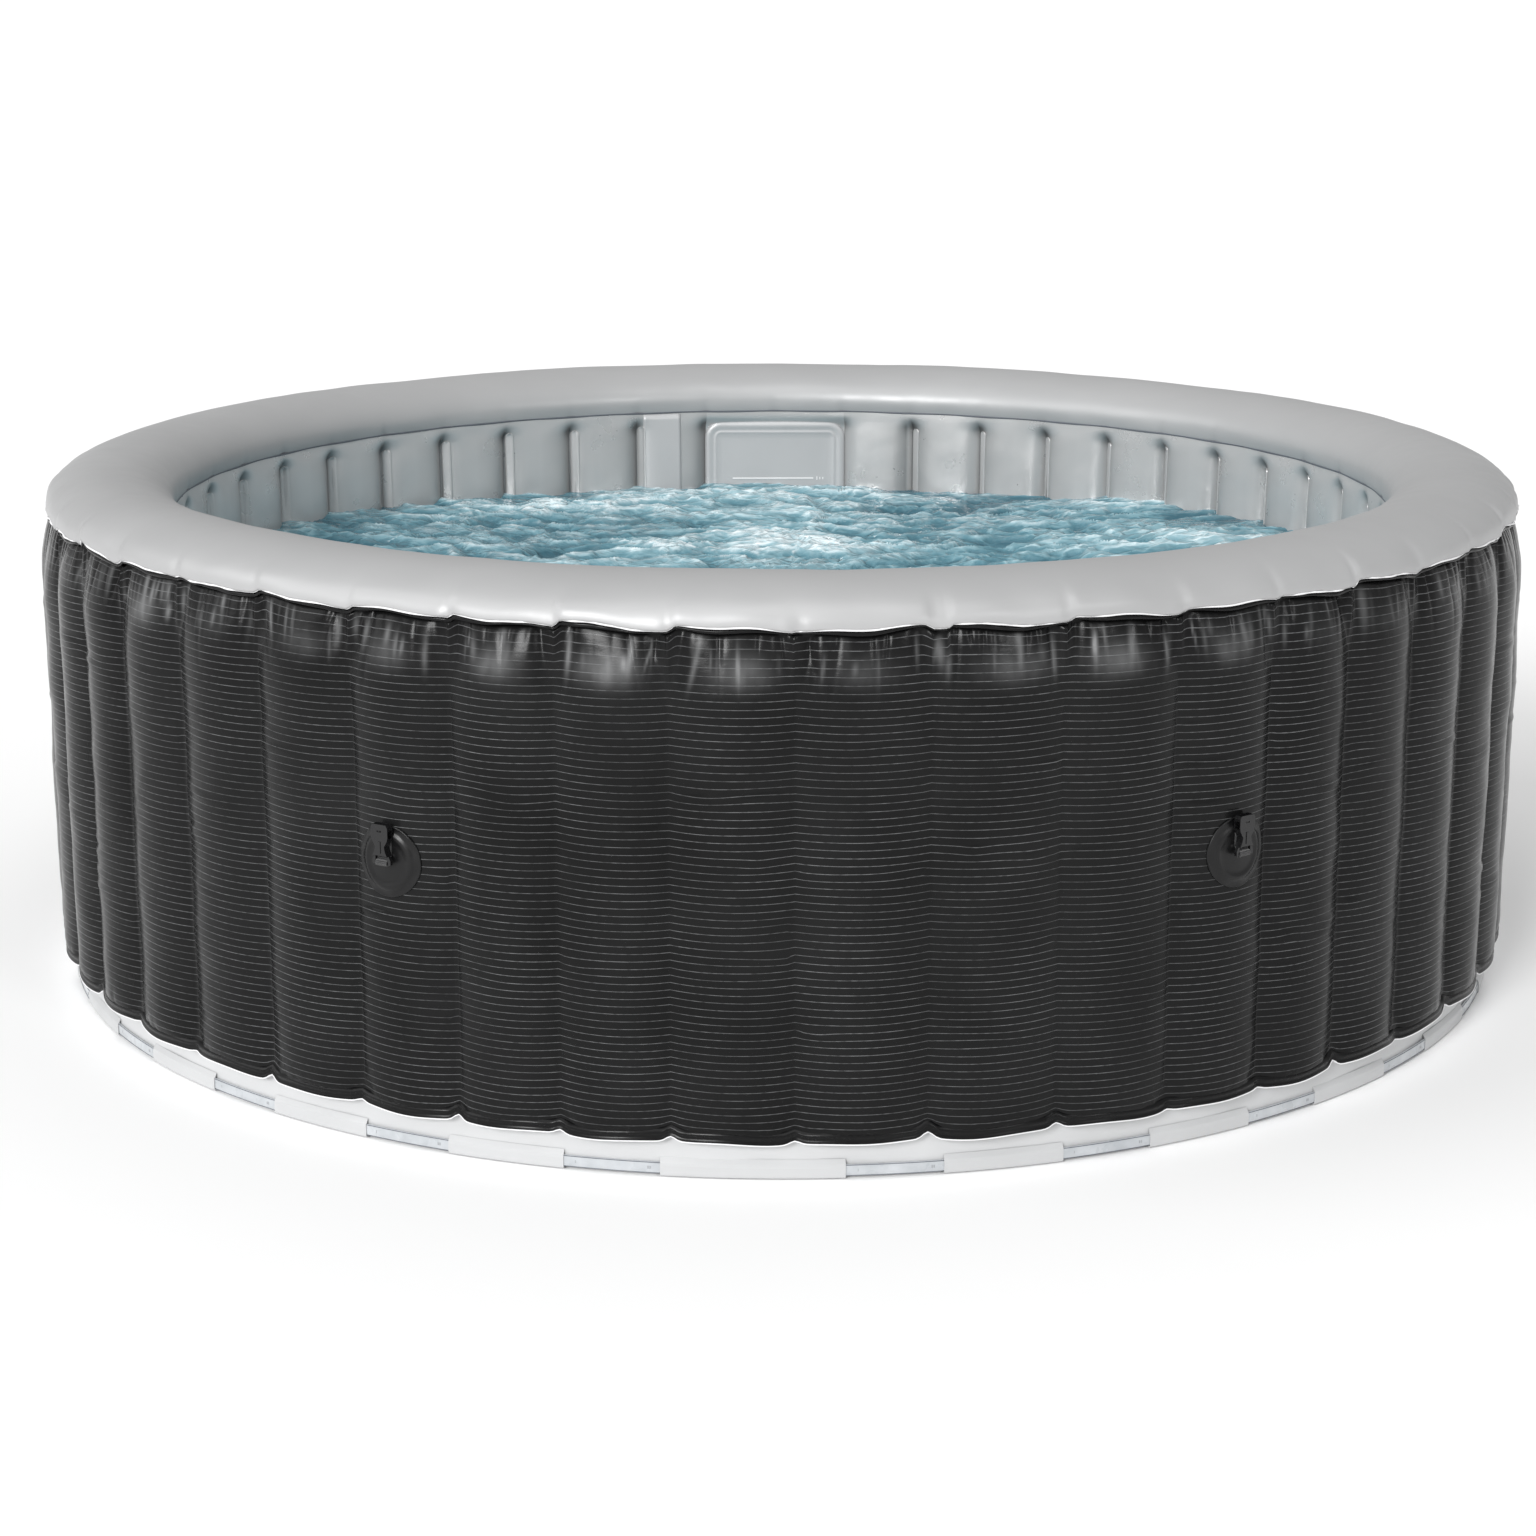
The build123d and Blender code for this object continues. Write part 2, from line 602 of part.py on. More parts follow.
def valve_spring():
    """Coil between the bridge and the button, drawn as its closed envelope."""
    return Pos(0, 0, 4.55) * (Cylinder(4.8, 6.7) - Cylinder(STEM_R + 0.4, 8))


# ---- drain ----
def drain_sleeve():
    """Tube from the pool, under the air chambers and out through the skirt."""
    inner_end = -DRAIN_REACH - 6
    middle, length = (DRAIN_OUT + inner_end) / 2, DRAIN_OUT - inner_end
    tube = Pos(0, 0, middle) * (Cylinder(DRAIN_R, length) - Cylinder(DRAIN_BORE_R, length + 2))
    collar = Pos(0, 0, DRAIN_OUT - 6) * (Cylinder(DRAIN_COLLAR_R, 12) - Cylinder(DRAIN_R - 1, 14))
    pool_flange = Pos(0, 0, inner_end + 1.5) * (Cylinder(19, 3) - Cylinder(DRAIN_R - 1, 4))
    wall_flange = Pos(0, 0, 3) * (Cylinder(17, 2.4) - Cylinder(DRAIN_R - 1, 4))
    return tube + collar + pool_flange + wall_flange


def drain_gasket():
    return Pos(0, 0, 1.05) * (Cylinder(16, 1.5) - Cylinder(DRAIN_R + GAP, 3))


def drain_plug():
    """Push-in stopper on the pool side, with a pull tab."""
    mouth = -DRAIN_REACH - 6
    stopper = Pos(0, 0, mouth + 5) * Cylinder(DRAIN_BORE_R - 0.1, 10)
    head = Pos(0, 0, mouth - 1.8) * Cylinder(13, 3)
    neck = Pos(0, 0, mouth - 0.5) * Cylinder(DRAIN_BORE_R - 1, 2)
    tab = Pos(0, 0, mouth - 8) * Box(14, 4, 10)
    return stopper + head + neck + tab


# ---- cover buckles ----
def buckle_patch(k):
    """Round welded patch with a raised rim."""
    plate = curved_disc(k, PATCH_R, GAP, PLATE_TOP)
    rim = curved_disc(k, PATCH_RIM_R, PLATE_TOP - 0.5, PATCH_RIM_TOP)
    return plate + (rim - extrude(Circle(PATCH_RIM_R - PATCH_RIM_W), 60, both=True))


def webbing_loop():
    """Folded webbing round the socket's bar, with its tail sewn to the patch behind the socket."""
    fold = Circle(BAR_R + GAP + LOOP_T) - Circle(BAR_R + GAP)
    low = PLATE_TOP + GAP + LOOP_T / 2 - BAR_OUT
    tail = Polyline((2.6, -2.0), (8.0, low), (24.0, low))
    side = fold + (trace(tail, LOOP_T) - Circle(BAR_R + GAP))
    plane = Plane(origin=(-LOOP_W / 2, 0, BAR_OUT), x_dir=(0, 1, 0), z_dir=(1, 0, 0))
    return plane * extrude(side, LOOP_W)


def socket():
    """Female half of a side-release buckle: mouth at the top, narrow waist, webbing bar at the foot."""
    foot, waist, head = SOCKET_FOOT_W, SOCKET_WAIST_W, SOCKET_HEAD_W
    half = [(foot, -BAR_R), (foot, 3.5), (waist + 1.2, 14), (waist, 20)]
    half += [(head - 0.9, 27.5), (head, 32), (head, SOCKET_TOP - 4), (head - 2, SOCKET_TOP)]
    outline = Polygon(*half, *[(-u, v) for u, v in reversed(half)], align=None)
    outline = fillet(outline.vertices(), 1.2)
    body = Pos(0, 0, BAR_OUT - SOCKET_T / 2) * extrude(outline, SOCKET_T)
    for side in (1, -1):
        body -= Pos(0, 2, BAR_OUT) * (Pos(0, 0, side * (BAR_R + SOCKET_T / 2)) * Box(40, 13, SOCKET_T))
    body -= Pos(0, 3, BAR_OUT) * Box(LOOP_W + 1, 12.4, 30)
    body += Pos(0, 0, BAR_OUT) * (Rot(0, 90, 0) * Cylinder(BAR_R, LOOP_W + 3))
    body -= Pos(0, SOCKET_TOP, BAR_OUT) * Box(2 * SOCKET_HEAD_W - 4, 38, 6.4)
    body -= Pos(0, 24, BAR_OUT) * Box(9, 14, 6.4)
    body -= Pos(0, 34.5, BAR_OUT) * Box(40, 9, 7)
    body -= Pos(0, 38, BAR_OUT + 4) * Box(6, 2, 6)
    return body + Pos(0, 19, BAR_OUT + SOCKET_T / 2) * Box(3, 14, 1.6)


# ---- base light strip ----
def closed_outline(corners):
    """Straight edges round the (radius, height) corners."""
    points = [at(r, z) for r, z in corners]
    return [Line(a, b) for a, b in zip(points, points[1:] + points[:1])]


def light_strip():
    """Flat strip round the base, open where the drain stands out of the skirt."""
    low, high = SKIRT_R + STRIP_OFF, SKIRT_R + STRIP_OFF + STRIP_T
    edges = closed_outline([(low, STRIP_LOW), (high, STRIP_LOW), (high, STRIP_HIGH), (low, STRIP_HIGH)])
    start = chamber_angle(DRAIN_CHAMBER) + DRAIN_GAP
    return revolved(*edges, arc=360 - 2 * DRAIN_GAP, start=start)


def sleeve_arcs():
    """Start and arc of each sleeve; the front one is longer, and one is left out where the drain is."""
    extra = FRONT_SLEEVE_ARC - SLEEVE_ARC
    drain = chamber_angle(DRAIN_CHAMBER)
    arcs = [(FRONT_SLEEVE, FRONT_SLEEVE_ARC)]
    for i in range(1, SLEEVES):
        start = FRONT_SLEEVE + extra + i * (360 - extra) / SLEEVES
        if start > drain + DRAIN_GAP or start + SLEEVE_ARC < drain - DRAIN_GAP:
            arcs.append((start, SLEEVE_ARC))
    return arcs


def light_strip_loops():
    """White sleeves, welded to the skirt above and below the strip."""
    back, face, t = SKIRT_R + GAP, SKIRT_R + STRIP_OFF + STRIP_T + GAP, SLEEVE_T
    low, high = SLEEVE_LOW, SLEEVE_HIGH
    outside = [(back, low), (face + t, low), (face + t, high), (back, high)]
    inside = [(back, high - t), (face, high - t), (face, low + t), (back, low + t)]
    edges = closed_outline(outside + inside)
    return group([revolved(*edges, arc=arc, start=start) for start, arc in sleeve_arcs()])


def save_vessel():
    save(outer_wall(), "outer_wall")
    save(inner_wall(), "inner_wall")
    save(top_rim(), "top_rim")
    save(base_skirt(), "base_skirt")
    save(floor_sheet(), "floor_sheet")
    save(chamber_webs(), "chamber_webs")
    save(outer_weld(OUTER_RIM_Z - SKIN), "rim_outer_weld")
    save(outer_weld(BASE_WELD_Z), "base_weld")
    save(inner_weld(), "rim_inner_weld")
    save(liner_lap_strip(), "liner_lap_strip")
    save(light_strip(), "light_strip")
    save(light_strip_loops(), "light_strip_loops")


def save_ports():
    save(inner_port_panel(), "inner_port_panel")
    save(outer_port_panel(), "outer_port_panel")
    for name, (x, z) in (("inlet", INLET), ("outlet", OUTLET)):
        save(port_sleeve(x, z), f"{name}_sleeve")
        save(port_gaskets(x, z), f"{name}_gaskets")
        save(locknut(x, z, SLEEVE_R, NUT_R), f"{name}_locknut")
    save(outlet_grille(), "outlet_grille")
    save(air_sleeve(), "air_sleeve")
    save(air_gasket(), "air_gasket")
    save(locknut(*AIR_PORT, AIR_R, AIR_NUT_R), "air_locknut")
    save(air_duct(), "air_duct")
    save(bubble_ring(), "bubble_ring")


def save_filter():
    save(filter_base(), "filter_base")
    save(filter_housing(), "filter_housing")
    save(filter_cap(), "filter_cap")
    save(filter_cartridge(), "filter_cartridge")


def save_valve():
    frame = wall_frame(chamber_angle(VALVE_CHAMBER), VALVE_Z, OUTER_CREST_R)
    foot = Pos(0, 0, VALVE_CAP_FOOT)
    save(frame * valve_body(), "valve_body")
    save(frame * valve_stem(), "valve_stem")
    save(frame * valve_spring(), "valve_spring")
    save(frame * (foot * screw_cap(VALVE_COLLAR_R, VALVE_CAP_H)), "valve_cap")
    save(frame * (foot * cap_ring(VALVE_COLLAR_R)), "valve_cap_ring")
    save(frame * (foot * cap_tether(VALVE_COLLAR_R, VALVE_TETHER, VALVE_CAP_FOOT)), "valve_tether")


def save_drain():
    frame = wall_frame(chamber_angle(DRAIN_CHAMBER), DRAIN_Z, SKIRT_R)
    foot = Pos(0, 0, DRAIN_CAP_FOOT)
    sideways = Rot(0, 0, 90)
    save(frame * drain_sleeve(), "drain_sleeve")
    save(frame * drain_gasket(), "drain_gasket")
    save(frame * drain_plug(), "drain_plug")
    save(frame * (foot * screw_cap(DRAIN_COLLAR_R, DRAIN_CAP_H)), "drain_cap")
    save(frame * (foot * cap_ring(DRAIN_COLLAR_R)), "drain_cap_ring")
    tether = cap_tether(DRAIN_COLLAR_R, DRAIN_TETHER, DRAIN_CAP_FOOT)
    save(frame * (foot * (sideways * tether)), "drain_tether")


def save_buckles():
    for number, (k, turn) in enumerate(BUCKLES, start=1):
        frame = bulge_frame(k, turn, BUCKLE_Z)
        save(frame * buckle_patch(k), f"buckle_patch_{number}")
        save(frame * webbing_loop(), f"webbing_loop_{number}")
        save(frame * socket(), f"buckle_socket_{number}")


save_vessel()
save_ports()
save_filter()
save_valve()
save_drain()
save_buckles()
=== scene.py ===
import json
from math import cos, pi, radians, sin, sqrt

import bmesh
import bpy
import numpy as np
from mathutils import Matrix, Vector


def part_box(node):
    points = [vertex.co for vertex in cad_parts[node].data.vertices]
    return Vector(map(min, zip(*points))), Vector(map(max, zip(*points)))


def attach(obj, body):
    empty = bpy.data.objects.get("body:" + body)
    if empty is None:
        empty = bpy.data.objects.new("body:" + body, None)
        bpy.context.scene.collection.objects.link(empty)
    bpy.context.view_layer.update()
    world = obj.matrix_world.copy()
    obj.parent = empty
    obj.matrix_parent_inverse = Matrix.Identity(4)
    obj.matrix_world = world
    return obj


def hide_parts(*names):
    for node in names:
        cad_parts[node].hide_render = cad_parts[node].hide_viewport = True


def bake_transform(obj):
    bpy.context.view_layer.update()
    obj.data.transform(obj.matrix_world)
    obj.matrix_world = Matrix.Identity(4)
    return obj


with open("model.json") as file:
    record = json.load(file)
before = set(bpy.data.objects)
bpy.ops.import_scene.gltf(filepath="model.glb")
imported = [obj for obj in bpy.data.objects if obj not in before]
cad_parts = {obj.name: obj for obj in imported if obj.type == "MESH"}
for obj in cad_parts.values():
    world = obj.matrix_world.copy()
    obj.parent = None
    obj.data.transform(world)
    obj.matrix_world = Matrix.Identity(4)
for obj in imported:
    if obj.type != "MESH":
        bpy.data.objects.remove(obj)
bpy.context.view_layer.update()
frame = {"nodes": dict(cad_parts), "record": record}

# Inflatable round hot tub. Metres, +Z up, origin on the ground at the middle, port panel at +Y.
# Angles round the vessel are in degrees, as in the CAD source: seam k lies at seam_angle(k).

NODES = frame["nodes"]
VESSEL = "vessel"
JOINTS = {joint["name"]: joint for joint in frame["record"]["behaviour"]["joints"]}

CHAMBERS = 46
PITCH = 360 / CHAMBERS
PORT_SEAM = CHAMBERS // 2
BUCKLE_CHAMBERS = (-4, 3, 11, 19, 26, 34)
OUTER_SEAM_R = 1.004
OUTER_CREST_R = 1.020
INNER_SEAM_R = 0.856
INNER_CREST_R = 0.838
WELD_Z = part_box("rim_outer_weld")[1].z
INNER_WELD_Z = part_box("rim_inner_weld")[1].z
BASE_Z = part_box("base_weld")[0].z
TOP_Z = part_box("top_rim")[1].z
RIM_MID_R = 0.930
RIM_OUTER_R = 1.008
RIM_BULGE_R = 0.840
RIM_INNER_R = 0.8425
RIM_BULGE_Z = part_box("rim_inner_weld")[1].z + 0.016
SKIRT_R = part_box("base_skirt")[1].x
WATER_Z = 0.500
LEVEL_Z = 0.512
LINE_PITCH = 0.0089
DRAIN_CHAMBER = 31
BAR_OUT = 0.0092
PANEL_OVERLAP = 0.0045


def add_object(name, data):
    obj = bpy.data.objects.new(name, data)
    bpy.context.scene.collection.objects.link(obj)
    return obj


# ---- camera, first, at the photographed viewing angle ----
def make_camera():
    data = bpy.data.cameras.new("camera")
    camera = add_object("camera", data)
    data.sensor_width = 36
    data.lens = 71.94
    data.clip_start, data.clip_end = 0.1, 900
    camera.location = (-0.0523, -4.2827, 1.3405)
    camera.rotation_euler = (radians(90 - 14.574), 0, radians(-0.457))
    bpy.context.scene.camera = camera


make_camera()


# ---- shared maths ----
def seam_angle(k):
    even = -90 + k * PITCH
    if abs(k - PORT_SEAM) <= 1:
        return even
    front = (1 - sin(radians(even))) / 2
    drift = 2.0 + 1.4 * cos(radians(2 * even + 37)) + 0.75 * cos(radians(7 * even + 121))
    return even + front * drift


def chamber_angle(k):
    return (seam_angle(k) + seam_angle(k + 1)) / 2


def smooth(a, b, x):
    t = np.clip((x - a) / (b - a), 0, 1)
    return t * t * (3 - 2 * t)


def bump_at(x, centre, width):
    return np.exp(-(((x - centre) / width) ** 2))


def lattice(ix, iy, seed):
    """Repeatable random value in 0..1 for each lattice point."""
    h = (ix.astype(np.int64) * 374761393 + iy.astype(np.int64) * 668265263 + seed * 2147483647) & 0xFFFFFFFF
    h = ((h ^ (h >> 13)) * 1274126177) & 0xFFFFFFFF
    return ((h ^ (h >> 16)) & 0xFFFFFF) / float(0xFFFFFF)


def value_noise(x, y, seed):
    ix, iy = np.floor(x), np.floor(y)
    fx, fy = x - ix, y - iy
    fx, fy = fx * fx * (3 - 2 * fx), fy * fy * (3 - 2 * fy)
    a, b = lattice(ix, iy, seed), lattice(ix + 1, iy, seed)
    c, d = lattice(ix, iy + 1, seed), lattice(ix + 1, iy + 1, seed)
    return (a + (b - a) * fx) * (1 - fy) + (c + (d - c) * fx) * fy


def cloud(x, y, seed, octaves=4, gain=0.5):
    total, size, weight = 0, 1.0, 0
    for i in range(octaves):
        turn = 0.6 * i
        u, v = cos(turn) * x - sin(turn) * y, sin(turn) * x + cos(turn) * y
        total = total + size * value_noise(u * 2**i, v * 2**i, seed + i)
        weight += size
        size *= gain
    return total / weight


SEAMS = np.radians([seam_angle(k) for k in range(CHAMBERS)] + [seam_angle(0) + 360])


def columns(across):
    """Angles at the same shares of every chamber."""
    return (SEAMS[:-1, None] + np.diff(SEAMS)[:, None] * np.asarray(across)[None, :]).ravel()


def even_shares(count):
    return np.linspace(0, 1, count + 1)[:-1]


class Ring:
    """Places round the vessel: angle, chamber number and share of the way across the chamber."""

    def __init__(self, angle):
        turned = (np.asarray(angle) - SEAMS[0] + 1e-9) % (2 * pi)
        self.angle = SEAMS[0] + turned - 1e-9
        self.chamber = np.clip(np.searchsorted(SEAMS, SEAMS[0] + turned, "right") - 1, 0, CHAMBERS - 1)
        self.start, self.end = SEAMS[self.chamber], SEAMS[self.chamber + 1]
        self.share = np.clip((self.angle - self.start) / (self.end - self.start), 0, 1)
        self.middle = (self.start + self.end) / 2
        self.flat = (self.chamber == PORT_SEAM - 1) | (self.chamber == PORT_SEAM)
        self.calm = smooth(0, 0.07, np.minimum(self.angle - SEAMS[0], SEAMS[-1] - self.angle))

    def from_seam(self, radius):
        """Arc length to the nearest seam, positive after it and negative before it."""
        after, before = (self.angle - self.start) * radius, (self.end - self.angle) * radius
        return np.where(after < before, after, -before)

    def chambers(self):
        """Each chamber's number, columns, arc lengths after its first seam, and width on the outer wall."""
        arc = (self.angle - self.start) * OUTER_SEAM_R
        for k in range(CHAMBERS):
            cols = np.where(self.chamber == k)[0]
            yield k, cols, arc[cols][None, :], float((self.end - self.start)[cols][0]) * OUTER_SEAM_R

    def waver(self, across, up, seed, octaves, size):
        """Soft unevenness of this size, calm where the ring closes."""
        return (cloud(self.angle[None, :] * across, up, seed, octaves) - 0.5) * size * self.calm

    def bulge(self, seam_r, crest_r):
        """Radius of the skin: an arc over each chamber, and a flat pane over the double one at the ports."""
        half = (self.end - self.start) / 2
        chord, depth = seam_r * np.sin(half), crest_r - seam_r * np.cos(half)
        arc_r = (chord**2 + depth**2) / (2 * np.abs(depth))
        outwards = 1 if crest_r > seam_r * cos(radians(PITCH / 2)) else -1
        centre = crest_r - outwards * arc_r
        off = self.angle - self.middle
        r = centre * np.cos(off) + outwards * np.sqrt(arc_r**2 - (centre * np.sin(off)) ** 2)
        pane = seam_r * cos(radians(PITCH)) / np.cos(self.angle - pi / 2)
        return np.where(self.flat, pane, r)


def per_chamber(seed, low, high):
    return np.random.default_rng(seed).uniform(low, high, CHAMBERS)


def skin_object(name, points, closed=True, attributes=None, cap_rows=False, flip=False):
    """Grid mesh from points[row, column], closed round its columns; cap_rows joins last row to first."""
    rows, cols = points.shape[:2]
    index = np.arange(rows * cols).reshape(rows, cols)
    nxt = np.roll(index, -1, axis=1)
    last = cols if closed else cols - 1
    a, b = index[:-1, :last], nxt[:-1, :last]
    c, d = nxt[1:, :last], index[1:, :last]
    quads = np.stack([a, b, c, d], axis=-1).reshape(-1, 4)
    if cap_rows:
        cap = np.stack([index[-1, :last], nxt[-1, :last], nxt[0, :last], index[0, :last]], axis=-1)
        quads = np.vstack([quads, cap])
    if flip:
        quads = quads[:, ::-1]
    mesh = bpy.data.meshes.new(name)
    mesh.vertices.add(rows * cols)
    mesh.vertices.foreach_set("co", points.reshape(-1).astype(np.float32))
    mesh.loops.add(len(quads) * 4)
    mesh.loops.foreach_set("vertex_index", quads.reshape(-1).astype(np.int32))
    mesh.polygons.add(len(quads))
    mesh.polygons.foreach_set("loop_start", np.arange(0, len(quads) * 4, 4, dtype=np.int32))
    mesh.update(calc_edges=True)
    set_smooth(mesh)
    for key, values in (attributes or {}).items():
        layer = mesh.attributes.new(key, "FLOAT", "POINT")
        layer.data.foreach_set("value", values.reshape(-1).astype(np.float32))
    mesh.validate()
    return add_object(name, mesh)


def around(angle, r, z):
    """Points from broadcast angle (radians), radius and height arrays."""
    angle, r, z = np.broadcast_arrays(angle, r, z)
    return np.stack([r * np.cos(angle), r * np.sin(angle), z], axis=-1)


def set_smooth(mesh, smooth_faces=True):
    mesh.polygons.foreach_set("use_smooth", np.full(len(mesh.polygons), smooth_faces))


def paint(obj, material):
    obj.data.materials.clear()
    obj.data.materials.append(material)


def finish_piece(obj, material, slot, *nodes, body=VESSEL):
    """Gives a piece its material, the body it rides and the CAD nodes it replaces; the slot argument is not
    used.
    """
    paint(obj, material)
    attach(obj, body)
    if nodes:
        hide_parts(*nodes)
    return obj


def mesh_piece(name, bm, material, slot, *nodes, body=VESSEL, smooth_faces=True):
    """Turns a finished bmesh into a piece."""
    mesh = bpy.data.meshes.new(name)
    bm.to_mesh(mesh)
    bm.free()
    set_smooth(mesh, smooth_faces)
    return finish_piece(add_object(name, mesh), material, slot, *nodes, body=body)


def thicken(obj, thickness):
    """Gives a skin its sheet thickness, inwards."""
    modifier = obj.modifiers.new("sheet", "SOLIDIFY")
    modifier.thickness = thickness
    modifier.offset = -1
    return obj


# ---- materials ----
class Mat:
    """A Principled material with short helpers for its node tree."""

    def __init__(self, name, color, roughness, **inputs):
        self.material = bpy.data.materials.new(name)
        self.material.use_nodes = True
        self.tree = self.material.node_tree
        self.shader = self.tree.nodes["Principled BSDF"]
        self.set("Base Color", (*color, 1))
        self.set("Roughness", roughness)
        for key, value in inputs.items():
            self.set(key.replace("_", " "), value)
        self.height = None
        self.coords = self.add("ShaderNodeTexCoord").outputs["Object"]

    def set(self, key, value):
        self.shader.inputs[key].default_value = value

    def add(self, kind, **values):
        node = self.tree.nodes.new(kind)
        for key, value in values.items():
            if key in node.inputs:
                node.inputs[key].default_value = value
            else:
                setattr(node, key, value)
        return node

    def link(self, out, into):
        self.tree.links.new(out, into)
        return into

    def noise(self, scale, detail=4, roughness=0.5, stretch=None):
        node = self.add("ShaderNodeTexNoise", Scale=scale, Detail=detail, Roughness=roughness)
        source = self.coords
        if stretch:
            mapping = self.add("ShaderNodeMapping")
            mapping.inputs["Scale"].default_value = stretch
            self.link(source, mapping.inputs["Vector"])
            source = mapping.outputs["Vector"]
        self.link(source, node.inputs["Vector"])
        return node.outputs["Fac"]

    def attribute(self, name):
        return self.add("ShaderNodeAttribute", attribute_name=name).outputs["Fac"]

    def coordinate(self, axis):
        node = self.add("ShaderNodeSeparateXYZ")
        self.link(self.coords, node.inputs[0])
        return node.outputs[axis]

    def math(self, operation, a, b=None, clamp=False):
        node = self.add("ShaderNodeMath", operation=operation, use_clamp=clamp)
        for i, value in enumerate((a, b)):
            if value is None:
                continue
            if isinstance(value, (int, float)):
                node.inputs[i].default_value = value
            else:
                self.link(value, node.inputs[i])
        return node.outputs[0]

    def ramp(self, value, stops):
        node = self.add("ShaderNodeValToRGB")
        ramp = node.color_ramp
        while len(ramp.elements) < len(stops):
            ramp.elements.new(0.5)
        for element, (place, color) in zip(ramp.elements, stops):
            element.position = place
            element.color = (*color, 1) if len(color) == 3 else color
        self.link(value, node.inputs["Fac"])
        return node.outputs["Color"]

    def remap(self, value, low, high, to_low, to_high):
        node = self.add("ShaderNodeMapRange")
        for key, number in (("From Min", low), ("From Max", high), ("To Min", to_low), ("To Max", to_high)):
            node.inputs[key].default_value = number
        self.link(value, node.inputs["Value"])
        return node.outputs["Result"]

    def mix(self, share, a, b):
        node = self.add("ShaderNodeMix", data_type="RGBA")
        for key, value in (("A", a), ("B", b)):
            socket = [s for s in node.inputs if s.name == key and s.type == "RGBA"][0]
            if isinstance(value, tuple):
                socket.default_value = (*value, 1)
            else:
                self.link(value, socket)
        factor = node.inputs[0]
        if isinstance(share, (int, float)):
            factor.default_value = share
        else:
            self.link(share, factor)
        return [s for s in node.outputs if s.type == "RGBA"][0]

    def color(self, socket):
        self.link(socket, self.shader.inputs["Base Color"])

    def rough(self, socket):
        self.link(socket, self.shader.inputs["Roughness"])

    def bump(self, height, distance, strength=1.0):
        node = self.add("ShaderNodeBump", Strength=strength, Distance=distance)
        self.link(height, node.inputs["Height"])
        if self.height is not None:
            self.link(self.height, node.inputs["Normal"])
        self.height = node.outputs["Normal"]
        self.link(self.height, self.shader.inputs["Normal"])


def shade(color, factor):
    return tuple(min(1.0, c * factor) for c in color)


def film(name, color, roughness, vary=0.06, **inputs):
    """Calendered PVC film: fine grain, slow cloudy tone and slightly uneven roughness."""
    m = Mat(name, color, roughness, **inputs)
    m.color(m.ramp(m.noise(3.5, 3), [(0.3, shade(color, 1 - vary)), (0.7, shade(color, 1 + vary))]))
    m.rough(m.remap(m.noise(22, 5), 0.3, 0.7, roughness - 0.04, roughness + 0.05))
    m.bump(m.noise(1100, 2), 0.00003)
    m.bump(m.noise(60, 3), 0.0006, 0.25)
    return m


def film_with_painted_fold_shade(name, color, roughness, **inputs):
    """Film with painted shade where the sheet is drawn into folds."""
    m = film(name, color, roughness, **inputs)
    tone = m.shader.inputs["Base Color"].links[0].from_socket
    # Painted shade: the tone is mixed towards a dark grey in the folds.
    m.color(m.mix(m.attribute("fold_shade"), tone, shade(color, 0.16)))
    return m


def striped_film():
    """Black film with printed light grey lines that follow the sheet through its folds, and painted
    highlights down the gathers.
    """
    m = Mat("wall_black_striped", (0.009, 0.009, 0.0092), 0.22, Specular_IOR_Level=0.12)
    line = m.math("FRACT", m.math("DIVIDE", m.attribute("sheet_z"), LINE_PITCH))
    distance = m.math("ABSOLUTE", m.math("SUBTRACT", line, 0.5))
    ink = m.remap(distance, 0.026, 0.056, 1.0, 0.0)
    worn = m.remap(m.noise(140, 3, stretch=(1, 1, 6)), 0.3, 0.62, 0.25, 1.0)
    ink = m.math("MULTIPLY", ink, worn, clamp=True)
    bright = m.remap(m.noise(9, 2), 0.35, 0.65, 0.45, 1.0)
    ink = m.math("MULTIPLY", ink, bright, clamp=True)
    black = m.ramp(m.noise(6, 4), [(0.3, (0.005, 0.005, 0.0051)), (0.75, (0.011, 0.0111, 0.0113))])
    # Painted highlight: the black is lifted towards pale grey on the streaks and glow of the gathers.
    painted_highlight_tone = m.mix(m.attribute("painted_shine"), black, (0.21, 0.212, 0.214))
    m.color(m.mix(ink, painted_highlight_tone, (0.15, 0.153, 0.156)))
    m.rough(m.remap(m.noise(30, 4), 0.3, 0.7, 0.19, 0.28))
    m.bump(m.noise(900, 2), 0.00003)
    m.bump(m.noise(28, 5, stretch=(1, 1, 3)), 0.0016, 0.3)
    return m


